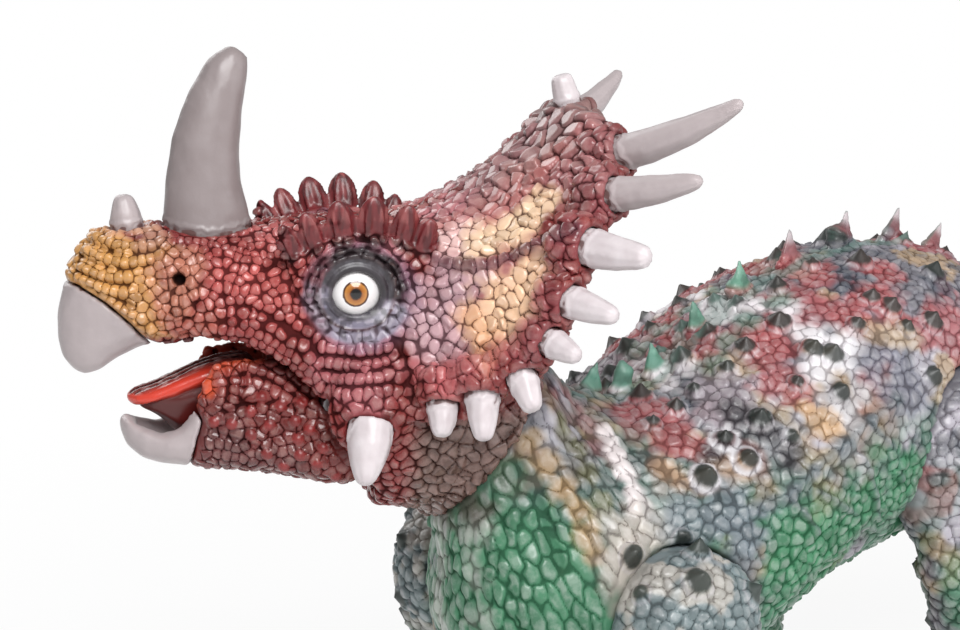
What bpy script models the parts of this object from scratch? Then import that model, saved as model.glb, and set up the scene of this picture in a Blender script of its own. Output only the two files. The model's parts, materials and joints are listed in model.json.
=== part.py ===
"""Toy horned dinosaur figure, moulded in soft plastic, with a turning head, jaw, legs and tail."""

import math

import bmesh
import bpy
from mathutils import Matrix, Vector

# Driving dimensions, in metres
HEAD_LENGTH = 0.100  # front of the beak to the nape
HEAD_SPAN = 0.100  # across the fourth pair of frill horns
HEAD_HEIGHT = 0.100  # throat to the tip of the nose horn
TRUNK_LENGTH = 0.100  # neck seam to the loin
TRUNK_WIDTH = 0.100  # across the hind legs
NECK_HEIGHT = 0.100  # ground to the middle of the neck seam
TAIL_LENGTH = 0.100  # tail seam to its tip
NECK_RADIUS = 0.0200
TAIL_RADIUS = 0.0215
CLEARANCE = 0.0003  # between pieces that seat on or turn in each other
OVERRUN = 0.0400  # how far a cutter runs past what it cuts

# Head
HEAD_TURN = math.radians(-30)
NECK_PITCH = math.radians(36.87)
FRILL_THICKNESS = 0.0076
EYE_RADIUS = 0.0060
LID_THICKNESS = 0.0015
BROW_SPIKE_LENGTH = 0.0078
BROW_SPIKE_RADIUS = 0.0023
NOSTRIL_RADIUS = 0.0016
HORN_SEAT = 0.0028  # how deep a horn sits in its socket
HORN_BOSS_WALL = 0.0017
HORN_BOSS_DEPTH = 0.0050  # from the root back into the frill
HORN_BOSS_EDGE = 0.0010
HORN_BOSS_RISE = 0.0019
HORN_BOSS_CHAMFER = 0.0009
JAW_PIN_RADIUS = 0.0015
JAW_PIN_SPAN_SHARE = 0.404  # ends inside both cheeks
BEAK_GAP = 0.0003
COLLAR_BULGE = 0.0012
COLLAR_TAPER = 0.0060
TONGUE_KEEP_RADII = (0.0120, 0.0100, 0.0100)

# Plugs: a shaft fixed in one moulding and a flange that is trapped in the other
NECK_PLUG_RADIUS = 0.0095
LEG_PLUG_RADIUS = 0.0055
TAIL_PLUG_RADIUS = 0.0080
PLUG_FLANGE = 0.0030
PLUG_FLANGE_THICKNESS = 0.0032
PLUG_WALL = 0.0050
PLUG_SUNK = 0.0070
PLUG_HOLE_RUN = 0.0100  # how far a plug's hole runs past its mouth

# Legs
LEG_PLANE = 0.29 * TRUNK_WIDTH  # middle of the body to the flat of a leg recess
FRONT_TOP_RADIUS = 0.0175
HIND_TOP_RADIUS = 0.0250
LEG_TOP_EDGE = 0.0065
LEG_TOP_DOME = 0.0120
RECESS_CLEARANCE = 0.0006
TOE_RADII = (0.0052, 0.0042, 0.0046)
TOE_RISE = 0.0014
LEG_DOME_ANGLES = (25, 52, 78)

# Dorsal row
DORSAL_SPIKE_HEIGHT = 0.0085
DORSAL_SPIKE_LENGTH = 0.0090
DORSAL_SPIKE_WIDTH = 0.0040
SPIKE_SUNK_SHARE = 0.45
SPIKE_TIP_SHARE = 0.12
# Corners of a dorsal spike's foot, along the row and across it
DORSAL_FOOT_SHARES = ((-1, 0.4), (0, 1), (1, 0.4), (1, -0.4), (0, -1), (-1, -0.4))
TORSO_SPIKE_SHARES = (0.75, 1.00)  # size of the first and last spike of the torso
TAIL_SPIKE_SHARES = (0.95, 0.45)

# Each row: place along the head, top, widest level, underside, half width
skull_ring_shares = (
    (-0.622, -0.020, -0.045, -0.075, 0.012),
    (-0.612, 0.025, -0.030, -0.110, 0.034),
    (-0.592, 0.078, -0.010, -0.136, 0.055),
    (-0.570, 0.118, 0.005, -0.147, 0.070),
    (-0.540, 0.146, 0.015, -0.138, 0.086),
    (-0.500, 0.158, 0.020, -0.110, 0.103),
    (-0.450, 0.160, 0.020, -0.090, 0.119),
    (-0.400, 0.160, 0.020, -0.085, 0.131),
    (-0.350, 0.160, 0.015, -0.080, 0.142),
    (-0.310, 0.158, 0.000, -0.330, 0.154),
    (-0.240, 0.156, -0.030, -0.350, 0.172),
    (-0.160, 0.160, -0.060, -0.372, 0.194),
    (-0.080, 0.165, -0.100, -0.410, 0.222),
    (0.000, 0.165, -0.130, -0.438, 0.244),
    (0.080, 0.160, -0.140, -0.450, 0.250),
    (0.160, 0.130, -0.150, -0.450, 0.240),
    (0.220, 0.080, -0.170, -0.440, 0.215),
    (0.252, 0.020, -0.190, -0.410, 0.190),
)
jaw_ring_shares = (
    (-0.502, -0.240, -0.252, -0.265, 0.014),
    (-0.490, -0.236, -0.260, -0.296, 0.048),
    (-0.460, -0.250, -0.270, -0.322, 0.078),
    (-0.420, -0.262, -0.280, -0.334, 0.098),
    (-0.385, -0.245, -0.280, -0.337, 0.112),
    (-0.360, -0.200, -0.280, -0.338, 0.120),
    (-0.340, -0.140, -0.280, -0.339, 0.127),
    (-0.315, -0.088, -0.280, -0.341, 0.134),
    (-0.260, -0.082, -0.285, -0.346, 0.149),
    (-0.200, -0.095, -0.290, -0.354, 0.161),
    (-0.140, -0.112, -0.300, -0.366, 0.174),
    (-0.095, -0.108, -0.305, -0.376, 0.183),
    (-0.055, -0.118, -0.305, -0.384, 0.180),
    (-0.027, -0.140, -0.290, -0.372, 0.165),
    (-0.010, -0.180, -0.265, -0.340, 0.135),
)
# The jaw's well in the skull, open below
jaw_well_shares = (
    (-0.345, -0.030, -0.280, -0.700, 0.141),
    (-0.260, -0.036, -0.285, -0.700, 0.156),
    (-0.200, -0.055, -0.290, -0.700, 0.168),
    (-0.140, -0.078, -0.300, -0.700, 0.181),
    (-0.095, -0.088, -0.305, -0.700, 0.190),
    (-0.050, -0.096, -0.305, -0.700, 0.190),
    (-0.015, -0.118, -0.300, -0.700, 0.178),
    (0.012, -0.160, -0.290, -0.700, 0.152),
)
jaw_trough_shares = (
    (-0.470, -0.200, -0.245, -0.270, 0.030),
    (-0.420, -0.100, -0.245, -0.292, 0.060),
    (-0.360, -0.020, -0.225, -0.296, 0.082),
    (-0.300, -0.020, -0.205, -0.285, 0.096),
    (-0.240, -0.020, -0.185, -0.245, 0.100),
    (-0.190, -0.040, -0.160, -0.195, 0.080),
)
palate_shares = (
    (-0.480, -0.085, -0.130, -0.300, 0.045),
    (-0.430, -0.062, -0.120, -0.300, 0.078),
    (-0.370, -0.048, -0.120, -0.300, 0.098),
    (-0.300, -0.042, -0.120, -0.300, 0.108),
    (-0.230, -0.050, -0.120, -0.300, 0.105),
    (-0.180, -0.070, -0.120, -0.300, 0.080),
)
tongue_shares = (
    (-0.487, -0.192, -0.200, -0.208, 0.018),
    (-0.470, -0.180, -0.198, -0.222, 0.040),
    (-0.430, -0.168, -0.200, -0.245, 0.055),
    (-0.390, -0.150, -0.200, -0.285, 0.062),
    (-0.340, -0.128, -0.190, -0.288, 0.066),
    (-0.290, -0.115, -0.175, -0.270, 0.066),
    (-0.250, -0.112, -0.160, -0.235, 0.058),
    (-0.225, -0.125, -0.150, -0.200, 0.040),
)
tongue_tip_shares = (-0.420, 0.000, -0.120)
# Side outlines, along the head and up
cheek_cut_shares = (
    (-0.345, -0.050),
    (-0.260, -0.062),
    (-0.180, -0.105),
    (-0.120, -0.165),
    (-0.080, -0.240),
    (-0.050, -0.330),
    (-0.030, -0.460),
    (-0.030, -0.800),
    (-0.420, -0.800),
    (-0.420, -0.170),
)
upper_beak_shares = (
    (-0.587, 0.045),
    (-0.530, 0.010),
    (-0.487, -0.028),
    (-0.450, -0.070),
    (-0.392, -0.092),
    (-0.392, -0.400),
    (-0.900, -0.400),
    (-0.900, 0.045),
)
lower_beak_shares = (
    (-0.385, -0.150),
    (-0.345, -0.235),
    (-0.360, -0.285),
    (-0.368, -0.330),
    (-0.368, -0.600),
    (-0.800, -0.600),
    (-0.800, -0.150),
)
# Right half of the frill, from its top middle down: along the head, out from the middle, up
frill_rim_shares = (
    (0.440, 0.000, 0.350),
    (0.455, 0.120, 0.345),
    (0.470, 0.245, 0.300),
    (0.435, 0.330, 0.230),
    (0.370, 0.392, 0.145),
    (0.330, 0.410, 0.042),
    (0.296, 0.402, -0.040),
    (0.262, 0.382, -0.098),
    (0.232, 0.362, -0.135),
)
frill_root_shares = (
    (0.020, 0.000, 0.115),
    (0.025, 0.080, 0.115),
    (0.030, 0.130, 0.105),
    (0.040, 0.160, 0.080),
    (0.050, 0.180, 0.045),
    (0.050, 0.195, 0.000),
    (0.050, 0.205, -0.055),
    (0.035, 0.210, -0.120),
    (0.015, 0.215, -0.190),
)
FRILL_ROWS = 4
frill_sag_share = 0.035
FRILL_SLOPE_SHARE = 0.65
# Frill horns, from the top down: where the root is, which way it reaches, how far it bends up
frill_horn_shares = (
    ((0.480, 0.250, 0.305), (0.196, 0.190, 0.116), 0.050),
    ((0.440, 0.340, 0.235), (0.138, 0.156, 0.044), 0.020),
    ((0.375, 0.405, 0.145), (0.093, 0.118, -0.008), 0.010),
    ((0.333, 0.421, 0.045), (0.074, 0.102, -0.020), 0.004),
    ((0.297, 0.413, -0.034), (0.044, 0.078, -0.022), 0.0),
    ((0.252, 0.378, -0.100), (0.014, 0.058, -0.068), 0.0),
    ((0.185, 0.339, -0.138), (-0.007, 0.050, -0.096), 0.0),
    ((0.115, 0.293, -0.165), (-0.009, 0.040, -0.070), 0.0),
)
# Radius at the root and near the tip of each frill horn
FRILL_HORN_RADII = (
    (0.0038, 0.0014),
    (0.0036, 0.0015),
    (0.0040, 0.0021),
    (0.0034, 0.0016),
    (0.0031, 0.0016),
    (0.0033, 0.0019),
    (0.0037, 0.0018),
    (0.0034, 0.0017),
)
CENTRE_HORN_RADII = (0.0030, 0.0022)
centre_horn_shares = ((0.445, 0.000, 0.372), (-0.020, 0.000, 0.075), 0.0)
CHEEK_HORN_RADII = (0.0046, 0.0016)
cheek_horn_shares = ((-0.027, 0.268, -0.242), (-0.018, 0.042, -0.090), 0.0)
cheek_boss_shares = (-0.020, 0.232, -0.195)
CHEEK_BOSS_RADII = (0.0085, 0.0052, 0.0095)
# Nose horn: along the head and up, with its half length along the head
nose_horn_shares = (
    (-0.315, 0.125),
    (-0.318, 0.175),
    (-0.322, 0.240),
    (-0.316, 0.320),
    (-0.295, 0.405),
    (-0.268, 0.470),
    (-0.245, 0.505),
)
NOSE_HORN_RADII = (0.0092, 0.0088, 0.0078, 0.0069, 0.0058, 0.0044, 0.0024)
nose_horn_width_share = 0.82
NUB_RADII = (0.0034, 0.0017)
nub_shares = ((-0.478, 0.000, 0.158), (-0.006, 0.000, 0.060), 0.0)
brow_ridge_shares = (-0.025, 0.172, 0.108)
BROW_RIDGE_RADII = (0.0140, 0.0052, 0.0052)
brow_spike_shares = (
    (-0.151, 0.184, 0.100),
    (-0.115, 0.190, 0.122),
    (-0.063, 0.194, 0.138),
    (-0.005, 0.196, 0.142),
    (0.051, 0.194, 0.126),
    (0.088, 0.190, 0.100),
)
eye_shares = (-0.043, 0.172, 0.036)
nostril_shares = (-0.388, 0.138, 0.060)
jaw_hinge_shares = (-0.095, 0.000, -0.190)
neck_seam_shares = (0.260, 0.000, -0.310)

# Torso rows: top along and up, underside along and up, half width, off the middle, share of the head's turn
torso_ring_shares = (
    (0.205, 1.080, -0.130, 0.760, 0.220, 0.045, 0.75),
    (0.320, 1.040, -0.140, 0.620, 0.270, 0.020, 0.45),
    (0.430, 1.060, -0.080, 0.475, 0.330, 0.000, 0.15),
    (0.560, 1.140, 0.100, 0.385, 0.378, 0.000, 0.00),
    (0.720, 1.220, 0.360, 0.385, 0.400, 0.000, 0.00),
    (0.920, 1.280, 0.680, 0.530, 0.402, 0.000, 0.00),
    (1.130, 1.305, 1.020, 0.595, 0.398, 0.000, 0.00),
    (1.330, 1.290, 1.280, 0.610, 0.370, 0.000, 0.00),
    (1.500, 1.225, 1.490, 0.650, 0.305, 0.000, 0.00),
)
tail_seam_shares = (1.670, 0.000, 0.920)
TAIL_PITCH = math.radians(-13)
neck_side_share = 0.070
shoulder_shares = (0.190, 0.620)
hip_shares = (1.180, 0.830)
# Room that a limb sweeps below its joint, along and up, in radii of the leg's top
swing_room_shares = ((1.03, 0.00), (1.25, -0.75), (1.50, -1.90), (1.50, -2.80))
# Leg rows: height, along from the joint, half length, middle across, half width
front_leg_shares = (
    (0.620, 0.000, 0.134, 0.374, 0.080),
    (0.530, 0.006, 0.139, 0.376, 0.082),
    (0.430, 0.022, 0.124, 0.381, 0.086),
    (0.320, 0.034, 0.104, 0.384, 0.087),
    (0.200, 0.008, 0.088, 0.383, 0.081),
    (0.110, -0.012, 0.093, 0.384, 0.090),
    (0.055, -0.024, 0.112, 0.386, 0.107),
    (0.000, -0.028, 0.118, 0.386, 0.112),
)
hind_leg_shares = (
    (0.830, 0.000, 0.190, 0.374, 0.080),
    (0.710, -0.010, 0.200, 0.377, 0.083),
    (0.580, -0.026, 0.180, 0.385, 0.092),
    (0.440, -0.006, 0.134, 0.391, 0.093),
    (0.300, 0.044, 0.098, 0.392, 0.087),
    (0.160, 0.050, 0.096, 0.392, 0.090),
    (0.065, 0.018, 0.124, 0.394, 0.111),
    (0.000, 0.010, 0.130, 0.394, 0.118),
)
# Toes: angle from straight ahead, in degrees
TOE_ANGLES = (-52, -18, 18, 52)
# Tail rows: along, to the side, up from the seam, and the radius as a share of the tail's
tail_ring_shares = (
    (0.150, 0.000, -0.036, 0.840),
    (0.340, -0.010, -0.095, 0.640),
    (0.530, -0.030, -0.160, 0.460),
    (0.710, -0.060, -0.220, 0.300),
    (0.850, -0.095, -0.260, 0.180),
    (0.940, -0.120, -0.280, 0.090),
)
# Dorsal spikes: how far along the torso's ridge, from neck to tail
TORSO_SPIKES = 10
TAIL_SPIKES = 5

# Section power of a ring: 2 is an ellipse, more is boxier
SKULL_POWER = 2.3
JAW_POWER = 2.7
WELL_POWER = 3.0
TORSO_POWER = 2.1
LIMB_POWER = 2.2
ROUND_POWER = 2.0
TORSO_LEVEL_SHARE = 0.52  # where a torso ring is widest, from its top down
TOE_REACH_SHARES = (0.85, 0.90)  # of the foot's half length and half width
LID_EDGE_SHARES = (0.45, 0.72, 0.85)  # of the eye's radius: edge, opening out, opening's radius
ROOM_SHARE = 1.7  # of the neck's radius: the space kept clear behind the seam
SLIVER = 0.000002  # shortest edge that is kept
HEAD_KEEP_SHARE = 0.55  # of the facets after the joining
LEG_KEEP_SHARE = 0.75
SMOOTH_ANGLE = math.radians(40)

RING_SIDES = 20
LIMB_SIDES = 14
HORN_SIDES = 8
SPIKE_SIDES = 6
UNDER_SIDES = 8
BALL_ROWS = 6
BALL_SIDES = 10
EYE_ROWS = 8
EYE_SIDES = 12
TOE_ROWS = 5
TOE_SIDES = 8
HORN_PROFILE_SHARES = ((0.00, 0.00), (0.26, 0.05), (0.58, 0.34), (0.84, 0.72), (0.96, 1.00))
TIP_ROUND_SHARE = 0.55


def clear_scene():
    for thing in list(bpy.data.objects):
        bpy.data.objects.remove(thing, do_unlink=True)


def painted(name, colour, roughness):
    """A plain moulded plastic in one colour."""
    found = bpy.data.materials.get(name)
    if found:
        return found
    made = bpy.data.materials.new(name)
    made.use_nodes = True
    shader = made.node_tree.nodes["Principled BSDF"]
    shader.inputs["Base Color"].default_value = (*colour, 1)
    shader.inputs["Roughness"].default_value = roughness
    return made


def red_skin():
    return painted("red_vinyl", (0.23, 0.045, 0.05), 0.5)


def body_skin():
    return painted("mottled_vinyl", (0.30, 0.20, 0.17), 0.55)


def pale_horn():
    return painted("pale_vinyl", (0.55, 0.47, 0.48), 0.35)


def red_tongue():
    return painted("tongue_vinyl", (0.65, 0.06, 0.02), 0.3)


def eye_enamel():
    return painted("eye_enamel", (0.8, 0.8, 0.82), 0.1)


def plug_plastic():
    return painted("plug_plastic", (0.12, 0.12, 0.12), 0.45)


def pin_steel():
    steel = painted("pin_steel", (0.5, 0.5, 0.5), 0.3)
    steel.node_tree.nodes["Principled BSDF"].inputs["Metallic"].default_value = 1
    return steel


def head_point(share):
    """A place on the head, from its middle at eye level."""
    return Vector((share[0] * HEAD_LENGTH, share[1] * HEAD_SPAN, share[2] * HEAD_HEIGHT))


def body_point(along, across, up):
    return Vector((along * TRUNK_LENGTH, across * TRUNK_WIDTH, up * NECK_HEIGHT))


def new_object(name, mesh_maker):
    mesh = bpy.data.meshes.new(name)
    shape = bmesh.new()
    mesh_maker(shape)
    bmesh.ops.recalc_face_normals(shape, faces=shape.faces)
    bmesh.ops.triangulate(shape, faces=shape.faces)
    shape.to_mesh(mesh)
    shape.free()
    made = bpy.data.objects.new(name, mesh)
    bpy.context.scene.collection.objects.link(made)
    return made


def loft(name, rings):
    """A closed skin through rings of points, with a flat cap on each end."""

    def fill(shape):
        rows = [[shape.verts.new(point) for point in ring] for ring in rings]
        sides = len(rings[0])
        for lower, upper in zip(rows, rows[1:]):
            for i in range(sides):
                j = (i + 1) % sides
                shape.faces.new((lower[i], lower[j], upper[j], upper[i]))
        shape.faces.new(rows[0])
        shape.faces.new(rows[-1])

    return new_object(name, fill)


def oval(middle, side, rise, drop, sides, power=SKULL_POWER):
    """A ring round middle: side is its half width, rise and drop reach its top and underside."""
    ring = []
    for i in range(sides):
        turn = 2 * math.pi * i / sides
        c, s = math.cos(turn), math.sin(turn)
        across = math.copysign(abs(c) ** (2 / power), c)
        up = math.copysign(abs(s) ** (2 / power), s)
        ring.append(middle + side * across + (rise if s > 0 else drop) * abs(up))
    return ring


def head_rings(shares, sides=RING_SIDES, grow=0.0, power=SKULL_POWER):
    rings = []
    for along, top, level, bottom, half in shares:
        middle = head_point((along, 0, level))
        side = Vector((0, half * HEAD_SPAN + grow, 0))
        rise = Vector((0, 0, (top - level) * HEAD_HEIGHT + grow))
        drop = Vector((0, 0, (bottom - level) * HEAD_HEIGHT - grow))
        rings.append(oval(middle, side, rise, drop, sides, power))
    return rings


def prism(name, outline, start, end):
    """A side outline, run across from start to end."""

    def fill(shape):
        near = [shape.verts.new(Vector((p.x, start, p.z))) for p in outline]
        far = [shape.verts.new(Vector((p.x, end, p.z))) for p in outline]
        count = len(outline)
        for i in range(count):
            j = (i + 1) % count
            shape.faces.new((near[i], near[j], far[j], far[i]))
        shape.faces.new(near)
        shape.faces.new(far)

    return new_object(name, fill)


def ball(name, middle, radii, rows=BALL_ROWS, sides=BALL_SIDES):
    def fill(shape):
        bmesh.ops.create_uvsphere(shape, u_segments=sides, v_segments=rows, radius=1)
        bmesh.ops.scale(shape, verts=shape.verts, vec=radii)
        bmesh.ops.translate(shape, verts=shape.verts, vec=middle)

    return new_object(name, fill)


def turned(name, start, axis, profile, sides):
    """A round piece: profile lists how far along the axis from start, and the radius there."""
    axis = axis.normalized()
    side = axis.orthogonal().normalized()
    up = axis.cross(side)
    rings = []
    for along, radius in profile:
        ring = []
        for i in range(sides):
            turn = 2 * math.pi * i / sides
            out = side * math.cos(turn) + up * math.sin(turn)
            ring.append(start + axis * along + out * radius)
        rings.append(ring)
    return loft(name, rings)


def weld_slivers(mesh):
    """Takes out the edges of no length that a Boolean can leave."""
    shape = bmesh.new()
    shape.from_mesh(mesh)
    bmesh.ops.dissolve_degenerate(shape, dist=SLIVER, edges=shape.edges)
    bmesh.ops.triangulate(shape, faces=shape.faces)
    shape.to_mesh(mesh)
    shape.free()


def combine(target, others, operation):
    """Joins others to target, or cuts them from it, and removes them."""
    for other in others:
        step = target.modifiers.new(operation, "BOOLEAN")
        step.operation = operation
        step.solver = "EXACT"
        step.object = other
    bpy.context.view_layer.update()
    graph = bpy.context.evaluated_depsgraph_get()
    result = bpy.data.meshes.new_from_object(target.evaluated_get(graph))
    target.modifiers.clear()
    weld_slivers(result)
    old = target.data
    target.data = result
    bpy.data.meshes.remove(old)
    result.name = target.name
    for other in others:
        bpy.data.objects.remove(other, do_unlink=True)


def thin_out(piece, keep):
    """Merges the narrow facets that the Booleans leave on even surfaces, down to a share of them."""
    step = piece.modifiers.new("thin_out", "DECIMATE")
    step.ratio = keep
    step.use_collapse_triangulate = True
    bpy.context.view_layer.update()
    graph = bpy.context.evaluated_depsgraph_get()
    result = bpy.data.meshes.new_from_object(piece.evaluated_get(graph))
    weld_slivers(result)
    piece.modifiers.clear()
    old = piece.data
    piece.data = result
    bpy.data.meshes.remove(old)
    result.name = piece.name


def copy_of(source, name):
    made = bpy.data.objects.new(name, source.data.copy())
    bpy.context.scene.collection.objects.link(made)
    return made


def sideways(axis):
    """A direction square to the axis, the same one for all axes near it."""
    nearly_across = abs(axis.y) > abs(axis.x) + abs(axis.z)
    return axis.cross(Vector((1, 0, 0) if nearly_across else (0, 1, 0))).normalized()


def swept(name, path, radii, sides, flatten=1.0):
    """A round tapered sweep along path, with a blunt rounded tip."""
    rings = []
    for i, (point, radius) in enumerate(zip(path, radii)):
        before = path[max(i - 1, 0)]
        after = path[min(i + 1, len(path) - 1)]
        axis = (after - before).normalized()
        side = sideways(axis)
        up = axis.cross(side)
        ring = []
        for j in range(sides):
            turn = 2 * math.pi * j / sides
            out = side * math.cos(turn) + up * math.sin(turn) * flatten
            ring.append(point + out * radius)
        rings.append(ring)
    return loft(name, rings)


def horn_path(place, reach, bend, seat):
    """The seat's foot, then the bow from the root to the tip."""
    steps = [share for share, _ in HORN_PROFILE_SHARES]
    lift = Vector((0, 0, bend))
    bow = [place + reach * t + lift * (t * t - t) for t in steps + [1.0]]
    first = (bow[1] - bow[0]).normalized()
    return [bow[0] - first * seat] + bow


def horn(name, place, reach, bend, radii, grow=0.0):
    """A horn whose root sits in a socket. With grow it is the cutter of that socket."""
    root, tip = radii
    path = horn_path(place, reach, bend, HORN_SEAT + grow)
    widths = [root + (tip - root) * share + grow for _, share in HORN_PROFILE_SHARES]
    widths = [widths[0]] + widths + [tip * TIP_ROUND_SHARE + grow]
    return swept(name, path, widths, HORN_SIDES)


def nose_horn(name, grow=0.0):
    path = [head_point((along, 0, up)) for along, up in nose_horn_shares]
    path[0] = path[0] - (path[1] - path[0]).normalized() * grow
    widths = [radius + grow for radius in NOSE_HORN_RADII]
    return swept(name, path, widths, LIMB_SIDES, nose_horn_width_share)


def mirrored(share, side):
    return (share[0], share[1] * side, share[2])


def spike(place, tip, radius):
    """One moulded spike that is joined to a larger piece."""
    reach = tip - place
    sunk = reach.length * SPIKE_SUNK_SHARE
    start = place - reach * SPIKE_SUNK_SHARE
    profile = ((0, radius), (sunk, radius), (sunk + reach.length, radius * SPIKE_TIP_SHARE))
    return turned("spike", start, reach, profile, SPIKE_SIDES)


def frill_surface():
    """Rows of points from the root to the rim, over both halves."""
    pairs = list(zip(frill_root_shares, frill_rim_shares))
    left = [(root, rim, -1) for root, rim in pairs[::-1]]
    right = [(root, rim, 1) for root, rim in pairs[1:]]
    rows = []
    for i in range(FRILL_ROWS + 1):
        t = i / FRILL_ROWS
        row = []
        for root, rim, side in left + right:
            start = head_point(mirrored(root, side))
            end = head_point(mirrored(rim, side))
            sag = Vector((frill_sag_share * HEAD_LENGTH, 0, -frill_sag_share * HEAD_HEIGHT))
            row.append(start.lerp(end, t) + sag * (4 * t * (1 - t)))
        rows.append(row)
    return rows


def frill_inward(point):
    """From the frill's face towards its back: rearward, and in towards the neck."""
    radial = Vector((0, point.y, point.z)).normalized()
    return (Vector((FRILL_SLOPE_SHARE, 0, 0)) - radial).normalized()


def frill_outward(point):
    """From the rim away from the head, square to the way inward."""
    inward = frill_inward(point)
    around = Vector((0, -point.z, point.y)).normalized()
    return around.cross(inward) if around.cross(inward).x > 0 else inward.cross(around)


def frill():
    """The bony shield: a curved sheet of even thickness with a rounded rim."""
    rows = frill_surface()
    half = FRILL_THICKNESS / 2

    def fill(shape):
        front = [[shape.verts.new(p - frill_inward(p) * half) for p in row] for row in rows]
        back = [[shape.verts.new(p + frill_inward(p) * half) for p in row] for row in rows]
        edge = [shape.verts.new(p + frill_outward(p) * half) for p in rows[-1]]
        count = len(rows[0])
        for a, b in zip(front, front[1:]):
            for j in range(count - 1):
                shape.faces.new((a[j], a[j + 1], b[j + 1], b[j]))
        for a, b in zip(back, back[1:]):
            for j in range(count - 1):
                shape.faces.new((a[j], b[j], b[j + 1], a[j + 1]))
        for j in range(count - 1):
            shape.faces.new((front[-1][j], front[-1][j + 1], edge[j + 1], edge[j]))
            shape.faces.new((edge[j], edge[j + 1], back[-1][j + 1], back[-1][j]))
            shape.faces.new((front[0][j], back[0][j], back[0][j + 1], front[0][j + 1]))
        for j in (0, count - 1):
            loop = [line[j] for line in front] + [edge[j]] + [line[j] for line in back[::-1]]
            shape.faces.new(loop)

    return new_object("frill", fill)


def neck_axis():
    """From the neck into the head, in the head's own frame."""
    return Vector((-math.cos(NECK_PITCH), 0, math.sin(NECK_PITCH)))


def plug(name, start, axis, radius, wall, sunk):
    """A flanged plug: sunk in one moulding behind start, its flange beyond a wall ahead of it."""
    front = wall + PLUG_FLANGE_THICKNESS
    flange = radius + PLUG_FLANGE
    profile = (
        (-sunk, radius),
        (wall + CLEARANCE, radius),
        (wall + CLEARANCE, flange),
        (front, flange),
    )
    return turned(name, start, axis, profile, RING_SIDES)


def plug_seat(start, axis, radius, sunk):
    """The hole that holds the plug's shaft."""
    profile = ((-sunk - CLEARANCE, radius + CLEARANCE), (PLUG_HOLE_RUN, radius + CLEARANCE))
    return turned("seat", start, axis, profile, RING_SIDES)


def plug_socket(start, axis, radius, wall):
    """The stepped hole that the plug turns in."""
    bore = radius + CLEARANCE
    chamber = radius + PLUG_FLANGE + CLEARANCE
    deep = wall + PLUG_FLANGE_THICKNESS + CLEARANCE
    profile = ((-PLUG_HOLE_RUN, bore), (wall, bore), (wall, chamber), (deep, chamber))
    return turned("socket", start, axis, profile, RING_SIDES)


def horn_boss(spec, radii, side):
    """The raised seat round a horn's root, with the horn's own direction and section."""
    place, reach, bend = spec
    at = head_point(mirrored(place, side))
    path = horn_path(at, head_point(mirrored(reach, side)), bend * HEAD_HEIGHT, HORN_SEAT)
    first = (path[1] - path[0]).normalized()
    radius = radii[0] + HORN_BOSS_WALL
    steps = (at - first * HORN_BOSS_DEPTH, at + first * HORN_BOSS_EDGE, at + first * HORN_BOSS_RISE)
    return swept("boss", steps, (radius, radius, radius - HORN_BOSS_CHAMFER), HORN_SIDES)


def skull_features():
    """Bosses, brow ridges, lids and spikes that are moulded with the head."""
    made = []
    for side in (-1, 1):
        made.append(ball("brow", head_point(mirrored(brow_ridge_shares, side)), BROW_RIDGE_RADII))
        made.append(ball("cheek", head_point(mirrored(cheek_boss_shares, side)), CHEEK_BOSS_RADII))
        for spec, radii in zip(frill_horn_shares, FRILL_HORN_RADII):
            made.append(horn_boss(spec, radii, side))
    made.append(horn_boss(centre_horn_shares, CENTRE_HORN_RADII, 1))
    return made


def brow_spikes():
    made = []
    for side in (-1, 1):
        for share in brow_spike_shares:
            place = head_point(mirrored(share, side))
            along = share[0] * HEAD_LENGTH / 4
            lean = Vector((along, side * BROW_SPIKE_LENGTH / 4, BROW_SPIKE_LENGTH))
            made.append(spike(place, place + lean, BROW_SPIKE_RADIUS))
    return made


def lids():
    made = []
    for side in (-1, 1):
        middle = head_point(mirrored(eye_shares, side))
        axis = Vector((0, side, 0))
        outer = EYE_RADIUS + LID_THICKNESS
        edge, front, opening = (EYE_RADIUS * share for share in LID_EDGE_SHARES)
        profile = ((-EYE_RADIUS, outer), (edge, outer), (front, opening))
        made.append(turned("lid", middle, axis, profile, LIMB_SIDES))
    return made


def behind_neck(seam, axis):
    """What the neck and its turning need clear behind the seam."""
    reach = NECK_RADIUS * ROOM_SHARE
    profile = ((-OVERRUN, reach), (CLEARANCE / 2, reach))
    return turned("neck_room", seam, axis, profile, LIMB_SIDES)


def neck_collar(seam, axis):
    """The head's side of the neck, round about the swivel."""
    profile = (
        (-PLUG_SUNK, NECK_RADIUS),
        (NECK_RADIUS / 2, NECK_RADIUS + COLLAR_BULGE),
        (NECK_RADIUS, NECK_RADIUS - COLLAR_TAPER),
    )
    return turned("collar", seam, axis, profile, RING_SIDES)


def make_head():
    seam = head_point(neck_seam_shares)
    axis = neck_axis()
    head = loft("head", head_rings(skull_ring_shares))
    combine(head, [frill(), neck_collar(seam, axis)], "UNION")
    well = loft("well", head_rings(jaw_well_shares, LIMB_SIDES, power=WELL_POWER))
    combine(head, [well], "DIFFERENCE")
    outline = [head_point((along, 0, up)) for along, up in cheek_cut_shares]
    cheek_cut = prism("cheek_cut", outline, -HEAD_SPAN, HEAD_SPAN)
    palate = loft("palate", head_rings(palate_shares, LIMB_SIDES))
    combine(head, [cheek_cut, palate], "DIFFERENCE")
    combine(head, skull_features(), "UNION")
    thin_out(head, HEAD_KEEP_SHARE)
    combine(head, brow_spikes() + lids(), "UNION")
    combine(head, [behind_neck(seam, axis)], "DIFFERENCE")
    return head


def beak_cut(name, shares, shift):
    outline = [head_point((x, 0, z)) for x, z in shares]
    return prism(name, [Vector((p.x + shift, 0, p.z + shift)) for p in outline], -HEAD_SPAN, HEAD_SPAN)


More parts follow.
